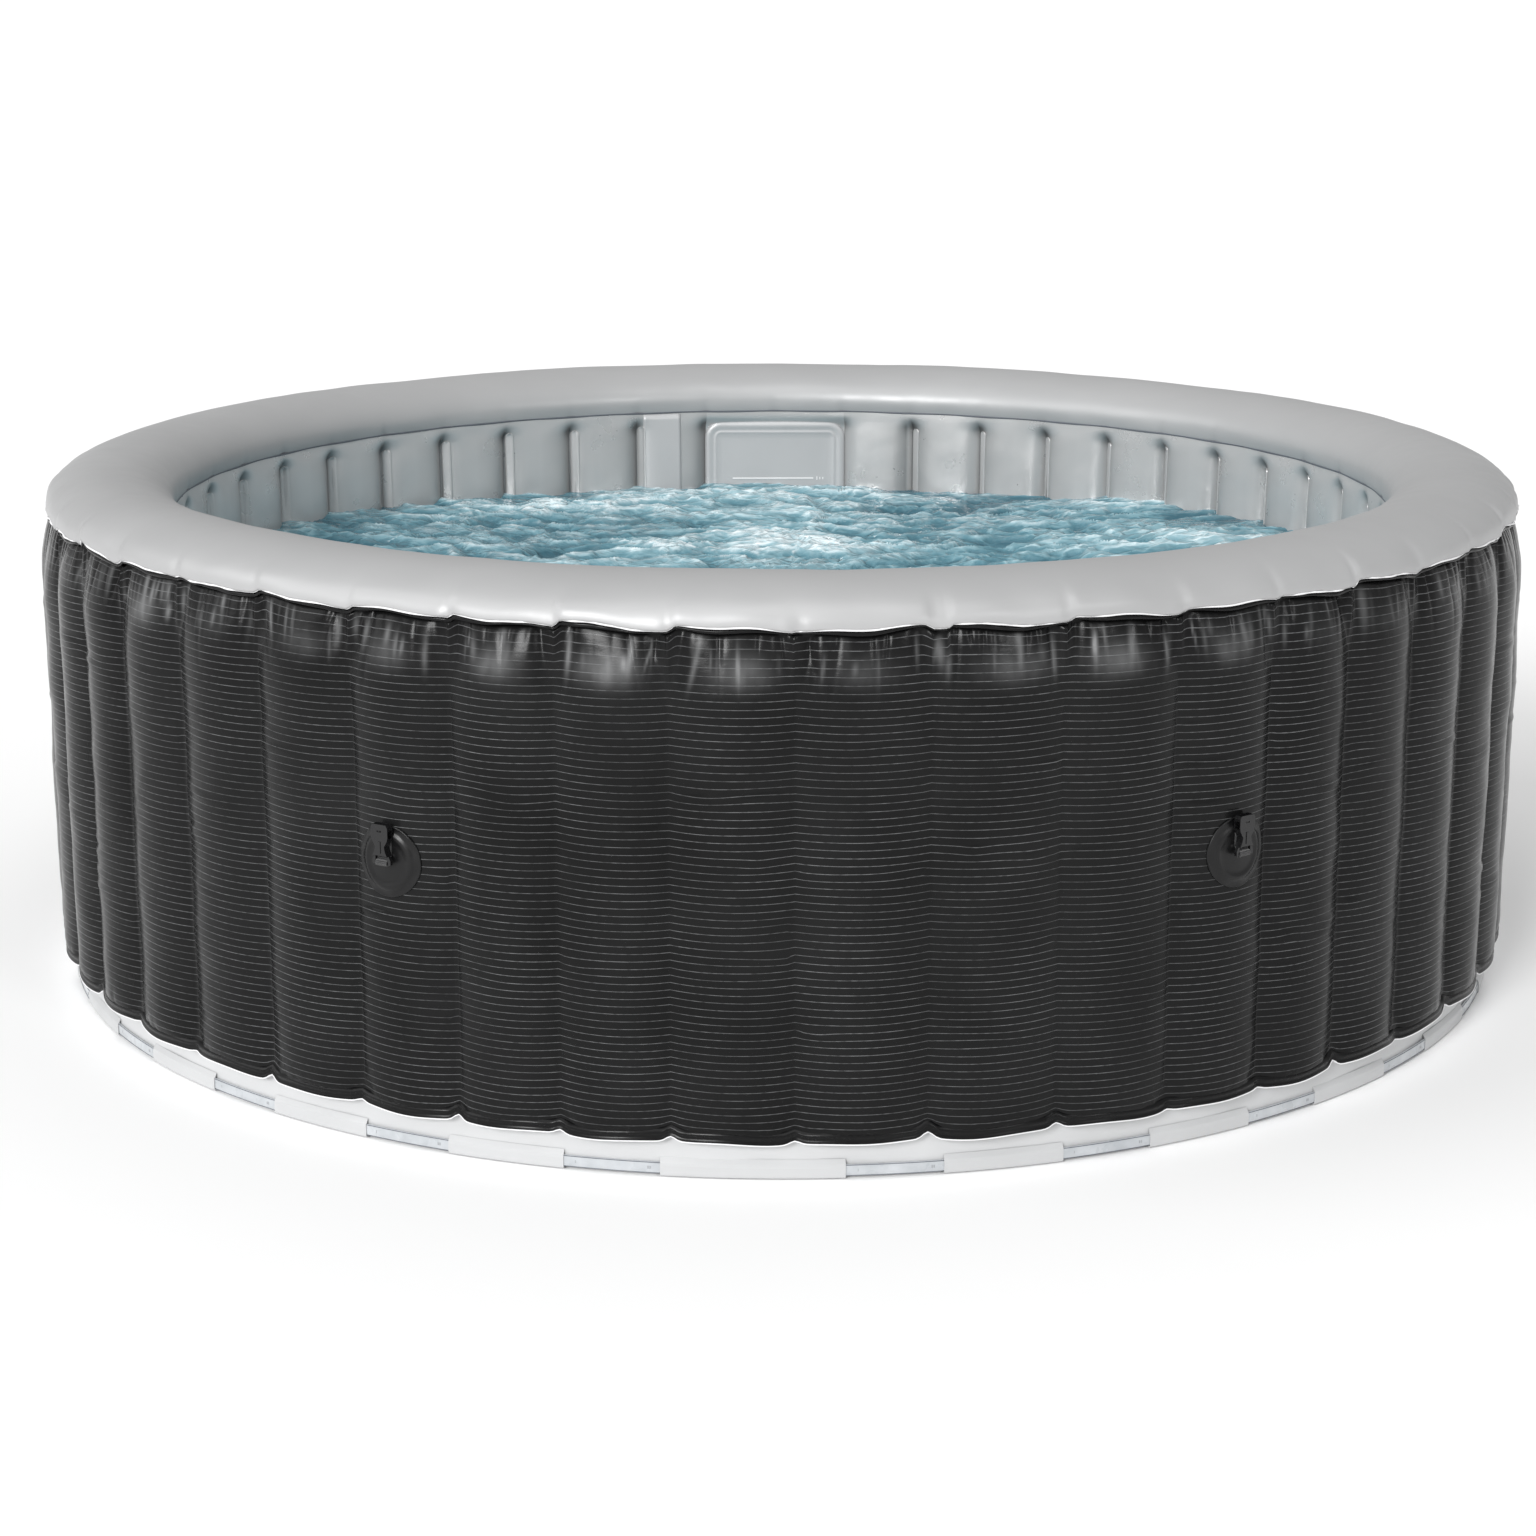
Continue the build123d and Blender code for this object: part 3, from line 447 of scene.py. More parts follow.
def water_material():
    """Churned water: painted shade in the teal troughs, painted highlights on the pale crests and fine
    wavelet lines, and lacy foam.
    """
    m = Mat("water_aerated", (0.16, 0.34, 0.40), 0.12, IOR=1.333)
    crest = m.attribute("crest")
    lines = []
    for scale, wide in ((26, 0.075), (64, 0.09)):
        middle = m.math("ABSOLUTE", m.math("SUBTRACT", m.noise(scale, 3, 0.5, stretch=(0.45, 1.5, 1)), 0.5))
        lines.append(m.remap(middle, 0.0, wide, 1.0, 0.0))
    level = m.math("MULTIPLY", crest, 0.62)
    for line, share in zip(lines, (0.22, 0.08)):
        level = m.math("ADD", level, m.math("MULTIPLY", line, share))
    # Painted light and shade: the tone runs from dark troughs to pale, highlight-like crests and wavelet
    # lines.
    body = m.ramp(level, [(0.10, (0.040, 0.110, 0.145)), (0.36, (0.090, 0.205, 0.250)),
                          (0.60, (0.205, 0.350, 0.400)), (0.80, (0.46, 0.60, 0.64)),
                          (0.96, (0.84, 0.89, 0.91))])
    lace = m.noise(70, 5, 0.62, stretch=(0.6, 1.6, 1))
    foam = m.math("MULTIPLY", m.attribute("foam"), m.remap(lace, 0.40, 0.64, 0.0, 0.9), clamp=True)
    m.color(m.mix(foam, body, (0.88, 0.92, 0.93)))
    m.rough(m.remap(foam, 0.0, 1.0, 0.10, 0.60))
    m.bump(lines[0], 0.0030, 0.6)
    m.bump(lines[1], 0.0010, 0.5)
    return m


def plastic(name, color, roughness, **inputs):
    """Moulded plastic with a fine spark-eroded grain."""
    m = Mat(name, color, roughness, **inputs)
    m.color(m.ramp(m.noise(14, 3), [(0.3, shade(color, 0.9)), (0.7, shade(color, 1.1))]))
    m.rough(m.remap(m.noise(70, 4), 0.3, 0.7, roughness - 0.05, roughness + 0.08))
    m.bump(m.noise(1800, 2), 0.00008)
    return m


def woven(name, color):
    """Narrow webbing: ribs across and along, in the strap's own plane."""
    m = Mat(name, color, 0.8, Sheen_Weight=0.3)
    ribs = m.math("SINE", m.math("MULTIPLY", m.coordinate("Z"), 4200.0))
    m.bump(ribs, 0.0004)
    m.bump(m.noise(900, 3, stretch=(1, 1, 3)), 0.0003)
    m.color(m.ramp(m.noise(260, 4), [(0.3, shade(color, 0.7)), (0.7, shade(color, 1.5))]))
    return m


def clear_strip():
    """Clear sleeve over a light strip: shiny pale grey."""
    m = Mat("strip_clear", (0.62, 0.64, 0.66), 0.28, Coat_Weight=0.4)
    m.color(m.ramp(m.noise(40, 3), [(0.3, (0.38, 0.40, 0.42)), (0.7, (0.48, 0.50, 0.52))]))
    m.rough(m.remap(m.noise(25, 3), 0.3, 0.7, 0.2, 0.36))
    m.bump(m.noise(200, 3), 0.0003)
    return m


def pleated_paper():
    m = Mat("filter_paper", (0.82, 0.84, 0.86), 0.85)
    m.color(m.ramp(m.noise(180, 5), [(0.3, (0.72, 0.75, 0.78)), (0.7, (0.88, 0.9, 0.92))]))
    m.bump(m.noise(700, 4), 0.0003)
    return m


SILVER = (0.40, 0.402, 0.405)
M = {
    "rim": film("rim_silver", shade(SILVER, 0.97), 0.42, vary=0.03, Metallic=0.2),
    # The pale weld edge colour is a painted highlight.
    "edge": film("weld_edge_painted_highlight", (0.80, 0.80, 0.81), 0.45),
    "liner": film_with_painted_fold_shade("liner_silver", (0.56, 0.558, 0.556), 0.30, vary=0.03, Metallic=0.5),
    "wall": striped_film(),
    "lip": film("lip_black", (0.0025, 0.0025, 0.0027), 0.28, Specular_IOR_Level=0.22),
    "base": film("base_white", (0.52, 0.525, 0.53), 0.42, vary=0.03),
    "loop": film("loop_white", (0.47, 0.475, 0.48), 0.42, vary=0.03),
    "strip": clear_strip(),
    "ink": plastic("strip_outline", (0.10, 0.11, 0.13), 0.5),
    "chip": plastic("strip_chip", (0.26, 0.27, 0.28), 0.5),
    "panel": film("panel_grey", (0.47, 0.475, 0.48), 0.42, vary=0.03, Metallic=0.25),
    "mark": film("mark_white", (0.85, 0.85, 0.85), 0.5, vary=0.02),
    "water": water_material(),
    "web": film("web_grey", (0.5, 0.5, 0.5), 0.5),
    "port": plastic("port_grey", (0.09, 0.093, 0.098), 0.5),
    "rubber": plastic("seal_rubber", (0.012, 0.012, 0.012), 0.75),
    "channel": film("channel_grey", (0.35, 0.36, 0.37), 0.45),
    "paper": pleated_paper(),
    "valve": plastic("valve_black", (0.022, 0.022, 0.024), 0.42),
    "patch": film("patch_black", (0.004, 0.004, 0.0043), 0.33, Specular_IOR_Level=0.32),
    "webbing": woven("webbing_black", (0.008, 0.008, 0.009)),
    "buckle": plastic("buckle_black", (0.006, 0.006, 0.0065), 0.2),
    "steel": plastic("spring_steel", (0.5, 0.5, 0.5), 0.3, Metallic=1.0),
}
M = {key: made.material for key, made in M.items()}

# ---- outer wall ----
COARSE = even_shares(32)
FINE = even_shares(64)
WALL_TOP = WELD_Z - 0.005
WALL_FOOT = BASE_Z + 0.006
WALL_TALL = WALL_TOP - WALL_FOOT
BAND_TALL = 0.100
WALL_TOP_R = 0.9985
STEP_UP = per_chamber(11, 0.0035, 0.0085)
WELD_RAISE = 0.004


def weld_line(ring):
    """Height of the wavy weld: it climbs along each chamber and steps at the seams."""
    side = np.where(np.degrees(ring.angle) < -80, 1.0, -1.0)
    along = np.where(side > 0, ring.share, 1 - ring.share)
    fall = np.where(along > 0.92, np.cos((along - 0.92) / 0.08 * pi) * 0.5 + 0.5, 1.0)
    saw = STEP_UP[ring.chamber] * ((along - 0.45) * fall - 0.45 * (1 - fall))
    wave = 0.0013 * np.sin(ring.angle * 31 + 1.3) + 0.0010 * np.sin(ring.angle * 73)
    front = 1 - 0.5 * smooth(0.2, 1.0, np.sin(ring.angle))
    return WELD_RAISE + (saw + wave) * front


def puckers(ring, depth, seed, longest=0.066):
    """Gathers below a weld: rounded folds between sharp creases, and a pleat on each seam."""
    rng = np.random.default_rng(seed)
    total = np.zeros((len(depth), len(ring.angle)))
    for _, cols, x, wide in ring.chambers():
        place = rng.uniform(0.006, 0.012)
        while place < wide - 0.005:
            deep = 0.0044 * rng.uniform(0.15, 1) ** 2
            long = rng.uniform(0.25, 0.9) * longest
            lean = rng.normal(0, 0.12) + 0.2 * (0.5 - place / wide)
            sharp = rng.uniform(0.0022, 0.0045)
            off = np.abs(x - place - lean * depth)
            total[:, cols] -= deep * np.exp(-off / sharp) * np.exp(-((depth / long) ** 2))
            place += rng.uniform(0.009, 0.026)
        for edge, inwards in ((0.0, 1), (wide, -1)):
            pleat = rng.uniform(0.0015, 0.0055)
            total[:, cols] += pleat * bump_at(x, edge, 0.0034) * np.exp(-((depth / (0.8 * longest)) ** 2))
            hollow = rng.uniform(0.0015, 0.0055)
            middle = edge + inwards * (0.010 + 0.10 * (longest - depth))
            total[:, cols] -= hollow * bump_at(x, middle, 0.0075) * np.exp(-((depth / (0.7 * longest)) ** 2))
    return total + 0.0008 * np.exp(-((depth / longest) ** 2))


def creases(ring, z, seed, count, low, high):
    """Short sideways crinkles: how far they lift the skin, and how far they shift its printed lines."""
    rng = np.random.default_rng(seed)
    lift = np.zeros((len(z), len(ring.angle)))
    shift = np.zeros_like(lift)
    for _, cols, x, wide in ring.chambers():
        for _ in range(rng.poisson(count)):
            near_seam = rng.uniform(0.0, 0.35) + 0.65 * rng.integers(0, 2)
            at_x, at_z = near_seam * wide, rng.uniform(low, high)
            long, tall = rng.uniform(0.016, 0.045), rng.uniform(0.0035, 0.0065)
            tilt = rng.uniform(-0.10, 0.10)
            amount, move = rng.uniform(0.0005, 0.0016), rng.uniform(-0.003, 0.003)
            off = z - at_z - tilt * (x - at_x)
            here = bump_at(x, at_x, long)
            lift[:, cols] += amount * here * (bump_at(off, 0, tall) - 0.6 * bump_at(off, tall * 1.6, tall))
            shift[:, cols] += move * here * bump_at(off, 0, tall * 2)
    clear = smooth(0.001, 0.009, np.abs(ring.from_seam(OUTER_SEAM_R)))[None, :]
    return lift * clear, shift * clear


def wall_sheet(across, depth):
    """Angle, radius, height, printed height and painted highlight of the outer skin at these depths below its
    top.
    """
    ring = Ring(columns(across))
    depth = depth[:, None]
    up = WALL_TALL - depth
    z = WALL_TOP - depth
    full = ring.bulge(OUTER_SEAM_R, OUTER_CREST_R)[None, :]
    shoulder = per_chamber(5, 0.078, 0.104)[ring.chamber][None, :]
    share = np.sin(pi / 2 * np.clip(depth / shoulder, 0, 1)) ** 0.70
    r = WALL_TOP_R + (full - WALL_TOP_R) * share
    foot_r = full * 0.35 + 0.65 * 1.0125
    r = foot_r + (r - foot_r) * np.sqrt(1 - np.clip(1 - up / 0.020, 0, 1) ** 2.4)
    loose = np.where(ring.flat, 0.35, 1.0)[None, :]
    r = r + loose * smooth(-0.004, 0.004, depth) * puckers(ring, depth, 21)
    r = r + loose * 0.4 * smooth(0, 0.004, up) * puckers(ring, up, 22, 0.026)
    slack = smooth(0.0, 0.05, depth) * smooth(0.0, 0.05, up)
    lift, shift = creases(ring, z, 31, 7, 0.14, 0.52)
    soft = ring.waver(9, z * 14, 41, 3, 0.0045)
    r = r + (lift * loose + soft) * slack
    sheet_z = z + shift * slack + ring.waver(5, z * 9, 43, 2, 0.0016)
    z = z + weld_line(ring)[None, :] * np.exp(-((depth / 0.028) ** 2))
    z = z + notch_line(ring)[None, :] * np.exp(-((up / 0.016) ** 2))
    return ring.angle, r, z, sheet_z, painted_highlights(ring, depth)


def painted_highlights(ring, depth):
    """Painted highlights: bright streaks down the gathers, and a painted glow where the shoulder ends."""
    rng = np.random.default_rng(27)
    total = np.zeros((len(depth), len(ring.angle)))
    strength = per_chamber(29, 0.35, 1.0)
    for k, cols, x, wide in ring.chambers():
        for _ in range(rng.integers(6, 11)):
            place, thin = rng.uniform(0.006, wide - 0.006), rng.uniform(0.0010, 0.0045)
            low, tall = rng.uniform(0.010, 0.038), rng.uniform(0.007, 0.020)
            lean = rng.normal(0, 0.10)
            streak = bump_at(x, place + lean * depth, thin) * bump_at(depth, low, tall)
            total[:, cols] += rng.uniform(0.15, 0.8) * strength[k] * streak
        glow = bump_at(x, wide * rng.uniform(0.4, 0.6), wide * rng.uniform(0.16, 0.28))
        glow = glow * bump_at(depth, 0.040, 0.016)
        total[:, cols] += rng.uniform(0.1, 0.6) * strength[k] * glow
    mottle = 0.55 + 0.9 * cloud(ring.angle[None, :] * 90, depth * 40, 45, 2)
    plain = np.where(ring.flat, 0.3, 1.0)[None, :]
    return np.clip(total * mottle, 0, 1) * smooth(0.002, 0.008, depth) * plain


def outer_wall():
    """Upper band with fine gathers, and the plainer rest of the skin below it."""
    top = np.linspace(0, 1, 46) ** 1.15 * BAND_TALL
    rest = np.concatenate([np.linspace(BAND_TALL - 0.002, WALL_TALL - 0.034, 96),
                           np.linspace(WALL_TALL - 0.030, WALL_TALL, 12)])
    for name, across, depth, replaced in (("outer_wall_skin", COARSE, rest, ["outer_wall"]),
                                          ("outer_wall_gathers", FINE, top, [])):
        angle, r, z, sheet_z, painted_shine = wall_sheet(across, depth)
        layers = {"sheet_z": sheet_z, "painted_shine": painted_shine}
        obj = skin_object(name, around(angle, r, z), attributes=layers, flip=True)
        finish_piece(obj, M["wall"], "wall_pvc", *replaced)


def notch_line(ring):
    """Height of the lower weld: a few seams lift it in a notch."""
    size = 0.0018 + 0.0080 * per_chamber(7, 0, 1) ** 3
    after = size[ring.chamber] * bump_at(ring.share, 0, 0.055)
    before = size[(ring.chamber + 1) % CHAMBERS] * bump_at(ring.share, 1, 0.055)
    wave = 0.0010 * np.sin(ring.angle * 29) + 0.0008 * np.sin(ring.angle * 57 + 1)
    return after + before + wave


def swept_ribbon(name, ring, section, material, slot, *nodes):
    """Closed band round the vessel whose cross-section is a list of (radius, height) arrays."""
    points = np.stack([around(ring.angle, r, z) for r, z in section])
    obj = skin_object(name, points, cap_rows=True, flip=True)
    return finish_piece(obj, material, slot, *nodes)


def scallop(ring, inset, share):
    """Radius that follows the bulges by share, inset from the crest."""
    full = ring.bulge(OUTER_SEAM_R, OUTER_CREST_R)
    return OUTER_CREST_R - inset + (full - OUTER_CREST_R) * share


def rim_lips():
    """Flange of the rim sheet, its edge in a pale colour that is a painted highlight, and the black lip of
    the wall sheet under them.
    """
    ring = Ring(columns(COARSE))
    z = WELD_Z + weld_line(ring)
    flutter = 0.0012 * np.sin(ring.angle * 190) * (0.5 + 0.5 * np.sin(ring.angle * 13))
    out = scallop(ring, 0.009, 0.30) + flutter
    under_rim = np.full_like(out, RIM_OUTER_R - 0.006)
    section = [(under_rim, z + 0.0016), (out - 0.0012, z + 0.0006), (out - 0.0010, z - 0.0004),
               (under_rim, z - 0.0006)]
    swept_ribbon("rim_weld_flange", ring, section, M["rim"], "rim_pvc")
    # Painted highlight: a pale strip along the edge of the rim sheet.
    section = [(out - 0.0030, z + 0.0003), (out - 0.0014, z + 0.0009), (out + 0.0002, z),
               (out - 0.0004, z - 0.0010), (out - 0.0030, z - 0.0009)]
    swept_ribbon("rim_weld_edge", ring, section, M["edge"], "rim_pvc")
    under = scallop(ring, 0.0105, 0.35) + 0.5 * flutter
    drop = 0.0050 + 0.0015 * np.sin(ring.angle * 41)
    section = [(under - 0.014, z - 0.0012), (under - 0.001, z - 0.0018), (under + 0.0008, z - 0.5 * drop),
               (under + 0.0002, z - drop), (under - 0.0012, z - drop - 0.0004),
               (under - 0.0022, z - 0.5 * drop), (under - 0.014, z - 0.0060)]
    swept_ribbon("rim_weld_lip", ring, section, M["lip"], "wall_pvc", "rim_outer_weld")


def base_lip():
    """Heavy black lip under the chambers, with a rolled lower edge."""
    ring = Ring(columns(COARSE))
    z = BASE_Z + 0.0115 + notch_line(ring)
    out = scallop(ring, 0.0015, 0.60)
    low = z - 0.0135
    crimp = 0.0004 * np.sin(ring.angle * 640)
    section = [(out - 0.016, z + 0.001), (out - 0.004, z + 0.0012), (out - 0.0012, z - 0.0008),
               (out + crimp, z - 0.0028), (out + 0.0006 - crimp, z - 0.0045), (out - 0.0010, z - 0.0065),
               (out - 0.0012, low + 0.0035), (out + 0.0006, low + 0.0018), (out - 0.0002, low),
               (out - 0.0030, low + 0.001), (out - 0.016, z - 0.003)]
    swept_ribbon("base_weld_lip", ring, section, M["lip"], "wall_pvc", "base_weld")
    # Painted highlight: a pale strip along the lower edge of the lip.
    section = [(out - 0.014, low + 0.0004), (out + 0.0004, low + 0.0006), (out + 0.0010, low - 0.0001),
               (out + 0.0004, low - 0.0008), (out - 0.014, low - 0.0006)]
    swept_ribbon("base_weld_edge", ring, section, M["edge"], "base_pvc")


# ---- top rim ----
def rim_profile():
    """Radius and height of the rim sheet from the outer weld over the crown to the inner weld."""
    points = []
    high, bulge_high = TOP_Z - WELD_Z, TOP_Z - RIM_BULGE_Z
    for a in np.linspace(0, pi / 2, 34):
        points.append((RIM_MID_R + (RIM_OUTER_R - RIM_MID_R) * cos(a), WELD_Z + high * sin(a)))
    for a in np.linspace(0, pi / 2, 28)[1:]:
        points.append((RIM_MID_R - (RIM_MID_R - RIM_BULGE_R) * sin(a), RIM_BULGE_Z + bulge_high * cos(a)))
    for t in np.linspace(0, 1, 8)[1:]:
        r = RIM_BULGE_R + (RIM_INNER_R - RIM_BULGE_R) * t * t
        points.append((r, RIM_BULGE_Z + (INNER_WELD_Z - RIM_BULGE_Z) * t))
    return np.array(points)


RIM_LINE = rim_profile()
RIM_LENGTH = np.concatenate([[0], np.cumsum(np.hypot(*np.diff(RIM_LINE, axis=0).T))])


def rim_surface(ring, length):
    """Radius and height of the slack rim at these lengths of sheet from the outer weld."""
    slope = np.gradient(RIM_LINE, axis=0)
    slope /= np.hypot(*slope.T)[:, None]
    line_r, line_z, slope_r, slope_z = (np.interp(length, RIM_LENGTH, v)[:, None]
                                        for v in (*RIM_LINE.T, *slope.T))
    from_outer, from_inner = length[:, None], (RIM_LENGTH[-1] - length)[:, None]
    seam = ring.from_seam(1.0)[None, :]
    size = per_chamber(17, 0.3, 1.2)
    near = np.where(ring.share < 0.5, size[ring.chamber], size[(ring.chamber + 1) % CHAMBERS])[None, :]
    dimple = -0.0026 * near * bump_at(seam, 0.003, 0.0065) * np.exp(-from_outer / 0.013)
    ridge = 0.0008 * near * bump_at(seam, -0.009, 0.007) * np.exp(-from_outer / 0.014)
    pillow = 0.0006 * np.sin(pi * ring.share)[None, :] * bump_at(from_outer, 0.018, 0.022)
    inner = -0.0018 * near * bump_at(seam, 0, 0.010) * np.exp(-from_inner / 0.014)
    soft = ring.waver(5, length[:, None] * 8, 51, 3, 0.0055)
    fade = smooth(0.0, 0.02, from_outer) * smooth(0, 0.02, from_inner)
    lift = dimple + ridge + pillow + inner + soft * fade
    weld = weld_line(ring)[None, :] * np.exp(-((from_outer / 0.032) ** 2))
    return line_r + slope_z * lift, line_z - slope_r * lift + weld


def top_rim():
    ring = Ring(columns(even_shares(28)))
    r, z = rim_surface(ring, RIM_LENGTH)
    obj = skin_object("top_rim_skin", around(ring.angle, r, z), flip=True)
    return finish_piece(thicken(obj, 0.001), M["rim"], "rim_pvc", "top_rim")


def rim_mark():
    """Three plain wavy lines on the crown, in place of any lettering."""
    bm = bmesh.new()
    for i in range(3):
        t = np.linspace(0, 1, 44)
        angle = radians(-89.2) + (t - 0.5) * (0.060 - 0.007 * i) / 0.97
        middle = 0.052 + 0.0062 * i + 0.0018 * np.sin(t * 5 * pi + 0.6 * i)
        half = 0.0012 * np.sin(pi * np.clip(t, 0.02, 0.98)) ** 0.5
        rows = []
        for side in (-1, -0.6, 0.6, 1):
            r, z = (np.diag(values) for values in rim_surface(Ring(angle), middle + side * half))
            proud = 0.0006 if abs(side) < 1 else -0.0002
            rows.append([bm.verts.new(p) for p in around(angle, r, z + proud)])
        for one, two in zip(rows, rows[1:]):
            for j in range(len(t) - 1):
                bm.faces.new((one[j], two[j], two[j + 1], one[j + 1]))
    bmesh.ops.recalc_face_normals(bm, faces=bm.faces)
    return mesh_piece("rim_mark", bm, M["mark"], "rim_pvc")


# ---- inner wall ----
INNER_ACROSS = np.array([0, 0.012, 0.03, 0.055, 0.085, 0.12, 0.16, 0.21, 0.27, 0.34, 0.42, 0.5, 0.58, 0.66,
                         0.73, 0.79, 0.84, 0.88, 0.915, 0.945, 0.97, 0.988])
TAB_TOP_Z = 0.602


def inner_radius(ring, z):
    """Inner skin: it swells below the rim, and a valley opens along each seam below its weld tab's head."""
    full = ring.bulge(INNER_SEAM_R, INNER_CREST_R)
    swell = np.sin(pi / 2 * np.clip((INNER_WELD_Z - z) / 0.13, 0, 1)) ** 0.85
    plain = RIM_INNER_R + (INNER_CREST_R - RIM_INNER_R) * swell
    valley = np.clip((full - INNER_CREST_R) / (INNER_SEAM_R - INNER_CREST_R), 0, 1)
    valley = np.where(ring.flat, valley, valley**2.4)
    open_up = smooth(-0.016, 0.004, TAB_TOP_Z - z)
    return plain + (INNER_SEAM_R - plain) * valley * open_up


def inner_wall():
    ring = Ring(columns(INNER_ACROSS))
    z = np.concatenate([np.linspace(INNER_WELD_Z - 0.001, 0.45, 56), np.linspace(0.44, 0.0025, 24)])[:, None]
    r = inner_radius(ring, z)
    soft = ring.waver(10, z * 12, 61, 3, 0.005)
    crumple = ring.waver(34, z * 18, 63, 1, 0.0016)
    seam = np.abs(ring.from_seam(INNER_SEAM_R))[None, :]
    fade = smooth(0, 0.02, INNER_WELD_Z - z) * smooth(0, 0.008, seam)
    away = np.where(ring.flat, 0.15, 1.0)[None, :]
    r = r + (0.5 * soft + 0.45 * crumple * np.exp(-seam / 0.02)) * fade * away
    obj = skin_object("inner_wall_skin", around(ring.angle, r, z), attributes={"fold_shade": painted_fold_shade(ring, z)})
    return finish_piece(obj, M["liner"], "liner_pvc", "inner_wall")


def painted_fold_shade(ring, z):
    """Painted shade in the folds of the skin: strongest on one side of each seam, with a painted smudge of
    shade just above the tab's head.
    """
    off = ring.from_seam(INNER_SEAM_R)[None, :]
    # Which side of each seam takes the painted shade flips at a set angle round the ring.
    off = np.where(ring.angle[None, :] % (2 * pi) < radians(75), -off, off)
    below = smooth(-0.012, 0.006, TAB_TOP_Z - z)
    deep = np.where(off > 0, 0.80 * np.exp(-off / 0.019), 0.35 * np.exp(off / 0.008))
    shade_smudge = 0.6 * bump_at(off, 0.002, 0.012) * bump_at(z, TAB_TOP_Z + 0.004, 0.013)
    return np.where(ring.flat[None, :], 0.0, np.clip(deep * below + shade_smudge, 0, 0.9))


def on_liner(seam, along, z, lift):
    """Points on the inner wall, along metres after a seam and lift metres proud of the skin."""
    angle = SEAMS[seam] + along / INNER_SEAM_R
    return around(angle, inner_radius(Ring(angle), z) - lift, z)


def weld_tabs():
    """Flat weld strip with a round head beside each inner seam."""
    half, low_z = 0.0062, 0.40
    rng = np.random.default_rng(71)
    bm = bmesh.new()
    profile = np.array([-1, -0.94, -0.8, -0.4, 0.4, 0.8, 0.94, 1])
    for seam in range(CHAMBERS):
        if abs(seam - PORT_SEAM) <= 1:
            continue
        head = TAB_TOP_Z + rng.uniform(-0.004, 0.004)
        turn = np.linspace(pi / 2, 0, 9)
        z = np.concatenate([head - half + half * np.sin(turn), np.linspace(head - half - 0.004, low_z, 30)])
        wide = np.concatenate([half * np.cos(turn), np.full(30, half)])
        along = np.maximum(wide, 0.0003)[:, None] * profile - half - 0.0008
        lift = np.interp(np.abs(profile), (0.4, 0.8, 0.94, 1), (0.0006, 0.0016, 0.0010, -0.0008))
        lift = np.broadcast_to(lift, along.shape)
        points = on_liner(seam, along, np.broadcast_to(z[:, None], along.shape), lift)
        grid = [[bm.verts.new(p) for p in row] for row in points]
        for one, two in zip(grid, grid[1:]):
            for j in range(len(profile) - 1):
                bm.faces.new((one[j], one[j + 1], two[j + 1], two[j]))
    return mesh_piece("liner_weld_tabs", bm, M["liner"], "liner_pvc")


def lap_strip():
    """Strip welded over the inner skin beside the port panel."""
    chamber = radians(PITCH) * INNER_SEAM_R
    along = np.linspace(0.38, 0.93, 14) * chamber
    along, z = np.meshgrid(along, np.linspace(INNER_WELD_Z - 0.002, 0.006, 60))
    points = on_liner(PORT_SEAM + 1, along, z, 0.0008)
    obj = skin_object("liner_lap", points, closed=False)
    thicken(obj, 0.0004)
    return finish_piece(obj, M["panel"], "liner_pvc", "liner_lap_strip")


def inner_line():
    """Dark weld line where the rim meets the inner wall."""
    ring = Ring(columns(even_shares(12)))
    z = INNER_WELD_Z + 0.0006 * np.sin(ring.angle * 37)
    r = RIM_INNER_R - 0.0012
    section = [(r + 0.006, z + 0.0010), (r, z + 0.0011), (r - 0.0006, z), (r, z - 0.0012),
               (r + 0.006, z - 0.0012)]
    section = [(np.full_like(ring.angle, a), b) for a, b in section]
    swept_ribbon("inner_weld_line", ring, section, M["ink"], "rim_pvc", "rim_inner_weld")


